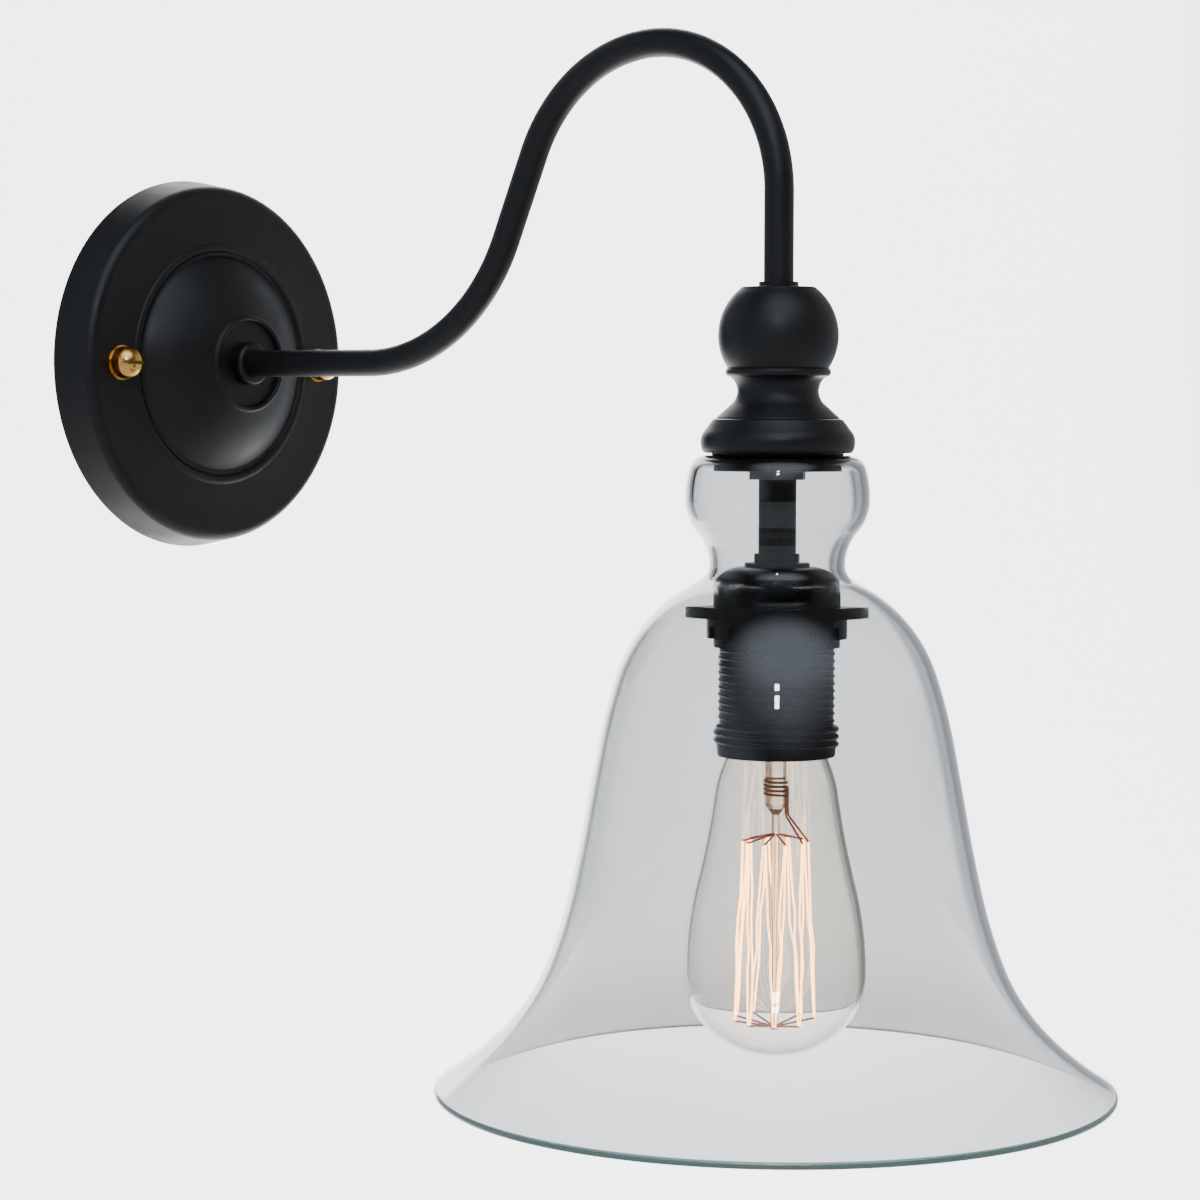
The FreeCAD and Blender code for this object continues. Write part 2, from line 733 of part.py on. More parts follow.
def make_connector_block():
    """A two-pole block on the bracket, with a wire way and a screw for each pole."""
    body = doc.addObject("PartDesign::Body", "connector_block")
    outline = sketch_on(body, "block_outline", "XY_Plane")
    half = S.block_length / 2
    side = S.block_width / 2
    draw(outline, [(half, -side), (half, side), (-half, side), (-half, -side)])
    for way in (-1, 1):
        draw_circle(outline, S.lead_dia / 2 + S.block_wire_clearance, S.block_pitch / 2 * way)
    pad(body, "block_body", outline, S.block_height)
    screws = sketch_on(body, "block_screw_wells", "XZ_Plane", S.block_width / 2)
    for way in (-1, 1):
        draw_circle(screws, S.block_screw_dia / 2 + S.block_screw_clearance,
                    S.block_pitch / 2 * way, S.block_height / 2)
    well = body.newObject("PartDesign::Pocket", "block_screw_pocket")
    well.Profile = screws
    well.Length = S.block_screw_height.value
    well.setExpression("Length", S.block_screw_height.text)
    keep(body, "connector_block", on_wall(S.bracket_thickness.value))
    radius = S.block_screw_dia.value / 2
    slot = S.screw_slot.value
    middle = (S.bracket_thickness + S.block_height / 2).value
    foot = (S.block_screw_recess - S.block_width / 2).value
    shapes = []
    for way in (-1, 1):
        screw = Part.makeCylinder(radius, (S.block_screw_height - S.block_screw_recess).value)
        screw = screw.cut(Part.makeBox(radius * 2, slot, slot, Vector(-radius, -slot / 2, 0)))
        screw.translate(Vector(way * S.block_pitch.value / 2, -middle, 0))
        shapes.append(screw)
    shaped("connector_screws", Part.makeCompound(shapes), Placement(Vector(0, 0, foot), Rotation()))


# ---------------------------------------------------------------- gooseneck arm

def make_arm():
    body = doc.addObject("PartDesign::Body", "gooseneck_arm")
    path = sketch_on(body, "arm_path", "YZ_Plane")
    draw(path, [(-S.arm_inner_end, ZERO), (-S.arm_bend_start, ZERO, -S.arm_bend_radius),
                (-bend_end[0], bend_end[1]), (-rise_end[0], rise_end[1], S.arch_rise_radius),
                (-arch_top[0], arch_top[1], S.arch_fall_radius), (-arch_end[0], arch_end[1]),
                (-arch_end[0], arm_end)], closed=False)
    edges = ["Edge" + str(i + 1) for i in range(6)]
    for kind, name, radius in (("Additive", "arm_tube", S.arm_dia / 2),
                               ("Subtractive", "arm_bore", S.arm_dia / 2 - S.arm_wall)):
        section = sketch_on(body, name + "_section", "XZ_Plane", S.arm_inner_end)
        draw_circle(section, radius)
        pipe = body.newObject("PartDesign::" + kind + "Pipe", name)
        pipe.Profile = section
        pipe.Spine = (path, edges)
    keep(body, "gooseneck_arm", Placement())


def make_arm_fixings(land):
    bore = S.arm_dia / 2 + S.thread_clearance
    outer = S.arm_bush_dia / 2
    top = S.arm_bush_height
    turned("arm_bush", [(bore, ZERO), (outer, ZERO), (outer, top - S.arm_bush_round,
                                                      S.arm_bush_round),
                        (outer - S.arm_bush_round, top), (bore, top)], on_wall(land))
    under = land - S.canopy_sheet.value - S.arm_washer_thickness.value
    arm_bore = S.arm_dia + S.thread_clearance * 2
    washer("arm_washer", S.arm_washer_dia, arm_bore, S.arm_washer_thickness, on_wall(under))
    hex_nut("arm_locknut", S.arm_nut_flats, arm_bore, S.arm_nut_height,
            on_wall(under - S.arm_nut_height.value))


# ---------------------------------------------------------------- cap, rod and glass

def make_cap():
    bore = S.rod_dia / 2 + S.thread_clearance
    well = S.arm_dia / 2 + S.thread_clearance
    height = S.cap_height
    flat = S.cap_flat_dia / 2
    ball = S.cap_ball_dia / 2
    equator = height - leg(ball, flat)
    bead = S.cap_bead_dia / 2
    bead_top = equator - leg(ball, bead)
    bead_foot = bead_top - S.cap_bead_height
    neck = S.cap_neck_dia / 2
    waist_foot = bead_foot - S.cap_waist_height
    flare = S.cap_flare_dia / 2
    step = S.cap_step_height
    skirt_top_r = S.cap_skirt_top_dia / 2
    skirt_r = S.cap_skirt_dia / 2
    well_foot = height + S.cap_collar_height - S.arm_in_cap
    turned("turned_cap", [
        (bore, ZERO), (S.cap_foot_dia / 2, ZERO, S.cap_skirt_radius),
        (skirt_r, S.cap_skirt_middle, S.cap_skirt_radius), (skirt_top_r, S.cap_skirt_top),
        (flare + S.cap_step_width, step), (flare, step), (neck, waist_foot, -S.cap_waist_radius),
        (neck, bead_foot), (bead, bead_foot, S.cap_bead_radius), (bead, bead_top, ball),
        (ball, equator, ball), (flat, height), (well, height), (well, well_foot),
        (bore, well_foot)], on_drop(cap_foot))
    washer("cap_collar", S.cap_collar_dia, S.arm_dia + S.thread_clearance * 2,
           S.cap_collar_height, on_drop(cap_top))


def make_rod():
    length = cap_foot + S.rod_in_cap.value - rod_foot
    rod = doc.addObject("Part::Cut", "threaded_rod")
    outside = doc.addObject("Part::Cylinder", "rod_outside")
    bore = doc.addObject("Part::Cylinder", "rod_bore_cut")
    for cylinder, dia in ((outside, S.rod_dia), (bore, S.rod_bore)):
        cylinder.setExpression("Radius", dia.text + " / 2")
        cylinder.Height = length
    rod.Base = outside
    rod.Tool = bore
    keep(rod, "threaded_rod", on_drop(rod_foot))
    rod_bore = S.rod_dia + S.thread_clearance * 2
    washer("stem_sleeve", S.sleeve_dia, rod_bore, S.sleeve_length, on_drop(sleeve_foot))
    hex_nut("retainer_nut", S.retainer_nut_flats, rod_bore, S.retainer_nut_height,
            on_drop(sleeve_top))
    washer("glass_retainer", S.retainer_dia, rod_bore, S.retainer_thickness,
           on_drop(retainer_foot))
    hex_nut("socket_nut", S.socket_nut_flats, rod_bore, S.socket_nut_height, on_drop(socket_top))
    for label, level in (("upper_gasket", glass_top), ("lower_gasket", retainer_top)):
        washer(label, S.gasket_dia if level == glass_top else S.retainer_dia, S.glass_hole_dia,
               S.gasket_thickness, on_drop(level))


def make_glass_bell():
    nodes = [
        (S.glass_top_dia.value / 2, 0.0, 0.0),
        (S.globe_dia.value / 2, -S.globe_drop.value, -90.0),
        (S.neck_dia.value / 2, -S.neck_drop.value, -90.0),
        (S.collar_dia.value / 2, -S.collar_drop.value, -S.collar_slope.value),
        (S.shoulder_dia.value / 2, -S.shoulder_drop.value, -S.shoulder_slope.value),
        (S.side_dia.value / 2, -S.side_drop.value, -S.side_slope.value),
        (S.flare_dia.value / 2, -S.flare_drop.value, -S.flare_slope.value),
        (S.rim_dia.value / 2, -S.rim_drop.value, -S.rim_slope.value)]
    wall = S.glass_wall.value
    hole = S.glass_hole_dia.value / 2
    shell = blown_shell(blown_curve(nodes), wall, [Vector(hole, 0, -wall), Vector(hole, 0, 0)])
    shaped("glass_bell", shell, on_drop(glass_top))


# ---------------------------------------------------------------- lamp socket

def make_socket():
    bore = S.rod_dia / 2 + S.thread_clearance
    top = S.socket_cap_height
    crown = S.socket_top_dia / 2
    outer = S.socket_cap_dia / 2
    wall = S.socket_cap_wall
    crown_foot = top - S.socket_top_height
    dome_foot = crown_foot - S.socket_dome_radius + S.socket_dome_flat
    thread = S.skirt_thread_dia / 2
    turned("socket_cap", [
        (outer - wall, ZERO), (outer, ZERO), (outer, dome_foot, S.socket_dome_radius),
        (crown, crown_foot), (crown, top), (bore, top), (bore, top - wall),
        (crown - wall, top - wall), (crown - wall, crown_foot - wall, -(S.socket_dome_radius)),
        (outer - wall, dome_foot - S.socket_cap_lip)], on_drop(skirt_top))
    body_r = S.skirt_body_dia / 2
    inner = S.skirt_bore / 2
    length = S.skirt_length
    foot = S.skirt_foot
    lower = foot + S.skirt_lower_thread
    upper = length - S.skirt_upper_thread
    top = length - S.skirt_seat_clearance
    seat = inner - S.skirt_seat_width
    turned("socket_skirt", [
        (inner, ZERO), (S.skirt_foot_dia / 2, ZERO), (thread, foot), (thread, lower),
        (body_r, lower), (body_r, upper), (thread, upper), (thread, top), (seat, top),
        (seat, length - S.skirt_seat), (inner, length - S.skirt_seat)], on_drop(skirt_foot))


def make_shade_ring():
    bore = S.skirt_thread_dia / 2 + S.ring_clearance
    flange = S.ring_flange_dia / 2
    collar = S.ring_collar_dia / 2
    height = S.ring_flange + S.ring_collar
    body = turned("shade_ring", [
        (bore, ZERO), (collar, ZERO), (collar, S.ring_collar), (flange, S.ring_collar),
        (flange, height), (bore, height)], on_drop(ring_foot))
    notch = sketch_on(body, "ring_notch", "XY_Plane")
    half = S.ring_notch_width / 2
    inner = collar - S.ring_notch_depth
    past = collar + S.ring_notch_depth
    draw(notch, [(inner, -half), (past, -half), (past, half), (inner, half)])
    cut = body.newObject("PartDesign::Pocket", "ring_notch_cut")
    cut.Profile = notch
    notch_height = S.ring_collar * S.ring_notch_share
    cut.Length = notch_height.value
    cut.setExpression("Length", notch_height.text)
    cut.Reversed = True
    doc.recompute()
    around = body.newObject("PartDesign::PolarPattern", "ring_notches")
    around.Originals = [cut]
    around.Axis = (notch, ["N_Axis"])
    around.Angle = 360
    around.setExpression("Occurrences", "Sizes.ring_notch_count")
    body.Tip = around


def make_socket_inside():
    inner = S.skirt_bore / 2 - S.core_clearance
    hole = S.core_terminal_spacing / 2
    core = doc.addObject("PartDesign::Body", "socket_core")
    disc = sketch_on(core, "core_disc", "XY_Plane")
    draw_circle(disc, inner)
    draw_circle(disc, S.lead_dia / 2 + S.core_wire_clearance, ZERO, hole)
    pad(core, "core_pad", disc, S.core_height)
    keep(core, "socket_core", on_drop(core_foot))
    shell_in = S.lamp_base_dia / 2 + S.shell_clearance
    shell_out = shell_in + S.shell_wall
    washer("screw_shell", shell_out * 2, shell_in * 2, S.shell_length,
           on_drop(core_foot - S.shell_length.value))
    strip = doc.addObject("PartDesign::Body", "centre_contact")
    side = sketch_on(strip, "contact_side", "XZ_Plane", -(S.contact_width / 2))
    thick = S.contact_thickness
    drop = S.contact_drop
    draw(side, [
        (-S.contact_width, ZERO), (-S.contact_width, -thick), (-S.contact_width * 0.5, -thick),
        (-S.contact_width * 0.2, -drop - thick), (S.contact_width * 0.5, -drop - thick),
        (S.contact_width * 0.5, -drop), (-S.contact_width * 0.1, -drop),
        (-S.contact_width * 0.35, ZERO)])
    pad(strip, "contact_strip", side, S.contact_width)
    keep(strip, "centre_contact", on_drop(core_foot))
    blocks = []
    screws = []
    width = S.terminal_width.value
    height = S.terminal_height.value
    radius = S.terminal_screw_dia.value / 2
    slot = S.screw_slot.value
    slot_foot = height + S.terminal_screw_head.value - slot
    for way in (-1, 1):
        x = way * hole.value
        blocks.append(Part.makeBox(width, width, height, Vector(x - width / 2, -width / 2, 0)))
        screw = Part.makeCylinder(radius, S.terminal_screw_head.value, Vector(x, 0, height))
        groove = Part.makeBox(radius * 2, slot, slot, Vector(x - radius, -slot / 2, slot_foot))
        screws.append(screw.cut(groove))
    level = core_foot + S.core_height.value
    shaped("socket_terminals", Part.makeCompound(blocks), on_drop(level))
    shaped("terminal_screws", Part.makeCompound(screws), on_drop(level))


# ---------------------------------------------------------------- lamp

def make_lamp():
    tip = S.lamp_tip_length
    hole = S.lamp_tip_hole / 2
    pin = hole - S.lamp_tip_clearance
    insulator = S.lamp_insulator_length
    tip_r = S.lamp_tip_dia / 2
    turned("lamp_tip_contact", [
        (ZERO, -insulator * 0.5), (pin, -insulator * 0.5), (pin, ZERO), (tip_r, ZERO),
        (tip_r - S.lamp_tip_edge, tip), (ZERO, tip)], on_drop(lamp_top - tip.value))
    top_r = tip_r + S.lamp_insulator_rim
    foot_r = S.lamp_insulator_dia / 2
    insulator_foot = lamp_top - (tip + S.lamp_tip_clearance + insulator).value
    turned("lamp_base_insulator", [
        (hole, insulator * 0.4), (hole, insulator), (top_r, insulator), (foot_r, ZERO), (ZERO, ZERO),
        (ZERO, insulator * 0.4)], on_drop(insulator_foot))
    base_r = S.lamp_base_dia / 2
    wall = S.lamp_base_wall
    length = S.lamp_base_length
    shoulder = length - S.lamp_base_crimp
    turned("lamp_base", [
        (base_r - wall, ZERO), (base_r, ZERO), (base_r, shoulder), (foot_r, length),
        (foot_r - wall * 2, length - wall), (base_r - wall, shoulder - wall)],
        on_drop(lamp_top - base_drop.value))
    nodes = [
        (S.lamp_neck_dia.value / 2, S.lamp_neck_in_base.value - base_drop.value, -90.0),
        (S.lamp_throat_dia.value / 2, -S.lamp_neck_drop.value, -S.lamp_neck_slope.value),
        (S.lamp_shoulder_dia.value / 2, -S.lamp_shoulder_drop.value, -S.lamp_shoulder_slope.value),
        (S.lamp_dia.value / 2, -S.lamp_widest_drop.value, -90.0),
        (0.0, -S.lamp_length.value, -180.0)]
    shell = blown_shell(blown_curve(nodes), S.lamp_glass_wall.value, [])
    shaped("lamp_glass", shell, on_drop(lamp_top))


def make_lamp_inside():
    """The glass stem, the cage filament, the hooks that hold it and its two lead wires."""
    flare = S.lamp_neck_dia / 2 - S.lamp_glass_wall - S.stem_clearance
    stem = S.stem_dia / 2
    rod = S.stem_rod_dia / 2
    stem_drop = base_drop - S.stem_in_base
    stem_foot = stem_drop + S.stem_length
    rod_end = stem_drop - (S.filament_bottom_drop + S.support_rise + S.stem_rod_tail)
    turned("lamp_stem", [
        (ZERO, ZERO), (flare, ZERO), (flare, -S.stem_flare), (stem, -S.stem_flare_length),
        (stem, -S.stem_length), (rod, -(S.stem_length + S.stem_taper)), (rod, rod_end),
        (ZERO, rod_end)], on_drop(lamp_top - stem_drop.value))
    loops = int(S.filament_loops.value)
    span = S.filament_span.value
    first = S.filament_gap_angle.value + (360 - span) / 2

    def hung(dia, step, drop):
        angle = math.radians(first + span * step / loops)
        radius = dia.value / 2
        return Vector(radius * math.cos(angle), radius * math.sin(angle), -drop.value)

    tops = [hung(S.filament_top_dia, i, S.filament_top_drop) for i in range(loops + 1)]
    lows = [hung(S.filament_bottom_dia, i + 0.5, S.filament_bottom_drop) for i in range(loops)]
    wire = S.filament_wire_dia.value / 2
    strands = []
    for top, low, following in zip(tops, lows, tops[1:]):
        for start, finish in ((top, low), (low, following)):
            way = finish - start
            strands.append(Part.makeCylinder(wire, way.Length, start, way))
    shaped("filament", strands[0].fuse(strands[1:]), on_drop(lamp_top))
    support = S.support_wire_dia.value / 2
    rise = S.support_rise.value
    touch = support + S.support_clearance.value
    hooks = []
    for point, up in [(top, 1) for top in tops[1:-1]] + [(low, -1) for low in lows]:
        outer = point + Vector(0, 0, up * touch)
        inner = Vector(0, 0, point.z + up * rise)
        way = outer - inner
        radius = math.hypot(point.x, point.y)
        start = inner + way * ((rod.value + S.support_clearance.value) / radius)
        hooks.append(Part.makeCylinder(support, (outer - start).Length, start, way))
    shaped("filament_supports", Part.makeCompound(hooks), on_drop(lamp_top))
    lead_wires = []
    for point in (tops[0], tops[-1]):
        beside = Vector(point.x, point.y, 0).normalize() * (stem.value + touch)
        start = beside + Vector(0, 0, S.lamp_lead_grip.value - stem_foot.value)
        bend = beside - Vector(0, 0, (stem_foot + S.stem_taper).value)
        route = rounded_route([start, bend, point + Vector(0, 0, touch)], [S.lamp_lead_bend.value])
        lead_wires.append(wire_along(route, S.support_wire_dia.value))
    shaped("lamp_lead_wires", Part.makeCompound(lead_wires), on_drop(lamp_top))


# ---------------------------------------------------------------- leads inside the arm

def make_leads():
    """Two leads from the connector block through the arm and rod to the socket's terminals."""
    half = S.lead_spacing.value / 2
    block_x = S.block_pitch.value / 2
    block_front = (S.bracket_thickness + S.block_height).value
    bend_y = block_front + S.lead_out_of_block.value
    rise = math.radians(S.arm_rise_angle.value)
    bend_corner = S.arm_bend_start.value + S.arm_bend_radius.value * math.tan(rise / 2)
    arch_corner = arch_top[0].value - S.arch_rise_radius.value * math.tan(rise / 2)
    terminal = S.core_terminal_spacing.value / 2
    screw_top = core_foot + (S.core_height + S.terminal_height + S.terminal_screw_head).value
    bend = S.lead_bend.value
    radii = [bend, bend, S.arm_bend_radius.value, S.arch_rise_radius.value,
             S.arch_fall_radius.value, bend, bend]
    for label, side in (("lead_live", -1), ("lead_neutral", 1)):
        x = side * half
        points = [
            Vector(side * block_x, S.lead_in_block.value - block_front, 0),
            Vector(side * block_x, -bend_y, 0),
            Vector(x, -bend_y - S.lead_gather.value, 0),
            Vector(x, -bend_corner, 0),
            Vector(x, -arch_corner, arch_top[1].value),
            Vector(x, -reach, arch_top[1].value),
            Vector(x, -reach, rod_foot - S.lead_below_rod.value),
            Vector(side * terminal, -reach, screw_top + S.lead_above_screw.value),
            Vector(side * terminal, -reach, screw_top)]
        shaped(label, wire_along(rounded_route(points, radii), S.lead_dia.value))


boss_land = make_canopy()
make_bracket()
make_studs()
make_stud_nuts()
make_brass_fixings()
make_earth_screw()
make_connector_block()
make_arm()
make_arm_fixings(boss_land)
make_cap()
make_rod()
make_glass_bell()
make_socket()
make_shade_ring()
make_socket_inside()
make_lamp()
make_lamp_inside()
make_leads()
doc.recompute()

faults = []
for item in doc.Objects:
    if "Invalid" in item.State or "Error" in item.State:
        faults.append(item.Name + ": " + ", ".join(item.State))
for piece in sub_parts:
    if piece.Shape.isNull() or not piece.Shape.isValid():
        faults.append(piece.Label + ": shape is not valid")
if faults:
    raise RuntimeError("; ".join(faults))

os.makedirs("parts", exist_ok=True)
for piece in sub_parts:
    piece.Shape.exportStep("parts/" + piece.Label + ".step")
print("nodes", len(sub_parts), "reach", round(reach, 2))
for piece in sub_parts:
    box = piece.Shape.BoundBox
    print(piece.Label, "solids", len(piece.Shape.Solids), "volume", round(piece.Shape.Volume, 1),
          "z", round(box.ZMin, 2), round(box.ZMax, 2), "y", round(box.YMin, 2), round(box.YMax, 2))
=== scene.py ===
"""Dresses the wall light: satin black canopy, gooseneck and cap, clear glass bell and cage lamp.

Lengths of the light are in millimetres until a mesh is made. Meshes, finishes and the stage
are in metres.
"""
from __future__ import annotations

import json
import logging
import math
from dataclasses import dataclass, field
from enum import Enum
from typing import Callable, Optional, Sequence, Union

import bmesh
import bpy
from mathutils import Matrix, Vector

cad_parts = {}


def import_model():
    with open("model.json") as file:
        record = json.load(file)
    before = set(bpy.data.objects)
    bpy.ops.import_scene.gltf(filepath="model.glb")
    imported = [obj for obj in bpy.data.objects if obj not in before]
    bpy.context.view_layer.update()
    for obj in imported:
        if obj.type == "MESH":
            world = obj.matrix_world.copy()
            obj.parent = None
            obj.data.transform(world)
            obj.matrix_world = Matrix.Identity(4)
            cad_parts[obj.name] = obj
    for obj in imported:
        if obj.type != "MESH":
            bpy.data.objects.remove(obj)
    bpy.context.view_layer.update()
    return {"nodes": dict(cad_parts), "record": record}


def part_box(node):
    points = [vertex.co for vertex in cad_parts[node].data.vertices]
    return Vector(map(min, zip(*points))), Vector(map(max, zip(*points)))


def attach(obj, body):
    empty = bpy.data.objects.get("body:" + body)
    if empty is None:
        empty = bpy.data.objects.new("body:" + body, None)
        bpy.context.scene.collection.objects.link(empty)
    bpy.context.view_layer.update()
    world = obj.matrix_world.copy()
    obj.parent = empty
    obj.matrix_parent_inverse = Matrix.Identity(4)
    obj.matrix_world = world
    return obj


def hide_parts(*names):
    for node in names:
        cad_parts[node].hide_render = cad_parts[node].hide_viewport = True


LOG = logging.getLogger("wall_light")
MM = 0.001
TINY = 1e-6  # A radius in millimetres, or a turn in radians, that counts as none.
PARALLEL = 1e-9  # A spread below which two directions count as one.
ARC_PARTS = 1000  # Pieces that an arc is cut into to find a place along it.
MOTTLE = 0.5  # Scale of a colour's clouds, as a share of its roughness's.
Point = tuple[float, float]
Corner = Sequence[float]
Triple = tuple[float, float, float]
Socket = bpy.types.NodeSocket
Value = Union[Socket, float]


class Axis(Enum):
    """The line that a turned piece is turned round."""

    WALL = "wall"
    DROP = "drop"


class Body(Enum):
    """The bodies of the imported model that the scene's own pieces ride on."""

    FIXTURE = "fixture"
    LAMP = "lamp"


# ---- outlines and meshes

def arc_between(start: Vector, finish: Vector, radius: float, steps: int) -> list[Vector]:
    """Points along an arc, without its first.

    Args:
        start: First end.
        finish: Last end.
        radius: Positive with the centre on the left of the way along, negative on the right.
        steps: How many pieces the arc is cut into.

    Returns:
        The points after the start, up to and with the finish.
    """
    chord = finish - start
    left = Vector((-chord.y, chord.x)).normalized()
    rise = math.sqrt(max(0.0, radius * radius - (chord.length / 2) ** 2))
    centre = (start + finish) / 2 + left * math.copysign(rise, radius)
    first = math.atan2(start.y - centre.y, start.x - centre.x)
    turn = math.copysign(2 * math.asin(min(1.0, chord.length / 2 / abs(radius))), radius)
    angles = [first + turn * i / steps for i in range(1, steps + 1)]
    return [centre + Vector((math.cos(a), math.sin(a))) * abs(radius) for a in angles]


def outline(corners: Sequence[Corner], steps: int, closed: bool = True) -> list[Point]:
    """An outline of lines and arcs as points of radius and height.

    Args:
        corners: (radius, height) or (radius, height, arc radius) for each corner. The arc
            radius belongs to the edge that leaves the corner.
        steps: Pieces for each arc.
        closed: Whether the last corner joins the first.

    Returns:
        The points in order.
    """
    points: list[Vector] = []
    count = len(corners)
    for i, corner in enumerate(corners):
        here = Vector(corner[:2])
        points.append(here)
        if len(corner) == 3 and (closed or i + 1 < count):
            there = Vector(corners[(i + 1) % count][:2])
            points += arc_between(here, there, corner[2], steps)[:-1]
    return [(p.x, p.y) for p in points]


def turned(way: Vector, angle: float) -> Vector:
    """A direction turned anticlockwise by an angle in radians."""
    cosine, sine = math.cos(angle), math.sin(angle)
    return Vector((way.x * cosine - way.y * sine, way.x * sine + way.y * cosine))


def arc_place(start: Vector, finish: Vector, turn: float, share: float) -> Vector:
    """The point at a share of the way along an arc that turns clockwise by turn.

    Args:
        start: First end.
        finish: Last end.
        turn: Clockwise turn in radians.
        share: From 0 at the start to 1 at the finish.

    Returns:
        The point.
    """
    if abs(turn) < TINY:
        return start.lerp(finish, share)
    radius = (finish - start).length / 2 / math.sin(abs(turn) / 2)
    points = arc_between(start, finish, math.copysign(radius, -turn), ARC_PARTS)
    index = round(share * ARC_PARTS)
    return start if index == 0 else points[index - 1]


def blown_curve(nodes: Sequence[Triple], steps: int) -> list[tuple[Vector, Vector]]:
    """A smooth run of tangent arcs through nodes with given slopes.

    Args:
        nodes: (radius, height, slope in degrees) for each node.
        steps: Pieces for each arc, with two arcs between nodes.

    Returns:
        Points along the run, each with its unit direction.
    """
    run: list[tuple[Vector, Vector]] = []
    slopes = [math.radians(slope) for _, _, slope in nodes]
    ways = [Vector((math.cos(slope), math.sin(slope))) for slope in slopes]
    spots = [Vector((radius, height)) for radius, height, _ in nodes]
    for start, way_in, finish, way_out in zip(spots, ways, spots[1:], ways[1:]):
        chord = finish - start
        across = chord.dot(way_in + way_out)
        spread = 2 * (1 - way_in.dot(way_out))
        if spread < PARALLEL:
            reach = chord.dot(chord) / (4 * chord.dot(way_out))
        else:
            reach = (math.sqrt(across ** 2 + spread * chord.dot(chord)) - across) / spread
        join = (start + way_in * reach + finish - way_out * reach) / 2
        middle = (finish - way_out * reach - start - way_in * reach).normalized()
        for a, a_way, b, b_way in ((start, way_in, join, middle), (join, middle, finish, way_out)):
            turn = a_way.angle_signed(b_way, 0.0)
            for i in range(steps):
                share = i / steps
                run.append((arc_place(a, b, turn, share), turned(a_way, -turn * share)))
    run.append((spots[-1], ways[-1]))
    return run


def new_object(name: str, data: bpy.types.ID) -> bpy.types.Object:
    """Adds an object to the scene.

    Args:
        name: The object's name.
        data: The mesh, curve, camera or light that it shows.

    Returns:
        The new object.
    """
    obj = bpy.data.objects.new(name, data)
    bpy.context.scene.collection.objects.link(obj)
    return obj


def smooth_mesh(obj: bpy.types.Object, sharp_degrees: float = 35.0) -> None:
    """Shades a mesh smooth, with its sharp corners kept.

    Args:
        obj: The mesh object.
        sharp_degrees: The least angle between two faces that stays a sharp edge.
    """
    mesh = obj.data
    mesh.shade_smooth()
    mesh.set_sharp_from_angle(angle=math.radians(sharp_degrees))


def lathe(name: str, profile: Sequence[Point], axis: Axis, level: float, reach: float,
          segments: int = 128,
          wave: Optional[Callable[[float, float, float], float]] = None) -> bpy.types.Object:
    """Turns a profile into a closed solid of revolution.

    Args:
        name: The piece's name.
        profile: Points of radius and height in millimetres, which close on the first.
        axis: The line to turn round.
        level: Height of the profile's zero: above the wall, or up the drop axis.
        reach: Distance of the drop axis from the wall.
        segments: Pieces round the turn.
        wave: Changes a radius by (radius, height, angle), as on a screw thread.

    Returns:
        The new object, at the origin.
    """
    mesh = bpy.data.meshes.new(name)
    work = bmesh.new()
    rings = []
    for radius, height in profile:
        if radius < TINY:
            rings.append([work.verts.new((0, 0, height))])
            continue
        ring = []
        for i in range(segments):
            angle = 2 * math.pi * i / segments
            size = wave(radius, height, angle) if wave else radius
            ring.append(work.verts.new((size * math.cos(angle), size * math.sin(angle), height)))
        rings.append(ring)
    for low, high in zip(rings, rings[1:] + rings[:1]):
        for i in range(segments):
            j = (i + 1) % segments
            corners = [low[i % len(low)], low[j % len(low)],
                       high[j % len(high)], high[i % len(high)]]
            unique = list(dict.fromkeys(corners))
            if len(unique) > 2:
                work.faces.new(unique)
    bmesh.ops.recalc_face_normals(work, faces=work.faces[:])
    work.to_mesh(mesh)
    work.free()
    if axis is Axis.WALL:
        turn, shift = Matrix.Rotation(math.radians(90), 4, "X"), Vector((0, -level, 0))
    else:
        turn, shift = Matrix.Identity(4), Vector((0, -reach, level))
    mesh.transform(Matrix.Scale(MM, 4) @ Matrix.Translation(shift) @ turn)
    mesh.update()
    obj = new_object(name, mesh)
    smooth_mesh(obj)
    return obj


# ---- node trees

def add_node(tree: bpy.types.NodeTree, kind: str, settings: Optional[dict] = None,
             **links: object) -> bpy.types.Node:
    """Adds a node to a tree.

    Args:
        tree: The geometry or shader tree.
        kind: The node's identifier.
        settings: Properties to set on the node.
        **links: For each input, a socket to link or a plain value. A name's underscores
            stand for spaces, and i0, i1 and so on name an input by its place.

    Returns:
        The new node.
    """
    node = tree.nodes.new(kind)
    for key, setting in (settings or {}).items():
        setattr(node, key, setting)
    for key, source in links.items():
        place = int(key[1:]) if key[0] == "i" and key[1:].isdigit() else key.replace("_", " ")
        socket = node.inputs[place]
        if isinstance(source, Socket):
            tree.links.new(source, socket)
        else:
            socket.default_value = source
    return node


def fade(tree: bpy.types.NodeTree, value: Socket, low: float, high: float, at_low: float = 0.0,
         at_high: float = 1.0) -> Socket:
    """A soft fade between two results as a value goes from low to high.

    Args:
        tree: The shader tree.
        value: What the fade follows.
        low: Where the fade starts.
        high: Where it ends.
        at_low: The result at and below low.
        at_high: The result at and above high.

    Returns:
        The result's socket.
    """
    node = add_node(tree, "ShaderNodeMapRange", {"interpolation_type": "SMOOTHSTEP"},
                    Value=value, From_Min=low, From_Max=high, To_Min=at_low, To_Max=at_high)
    return node.outputs["Result"]


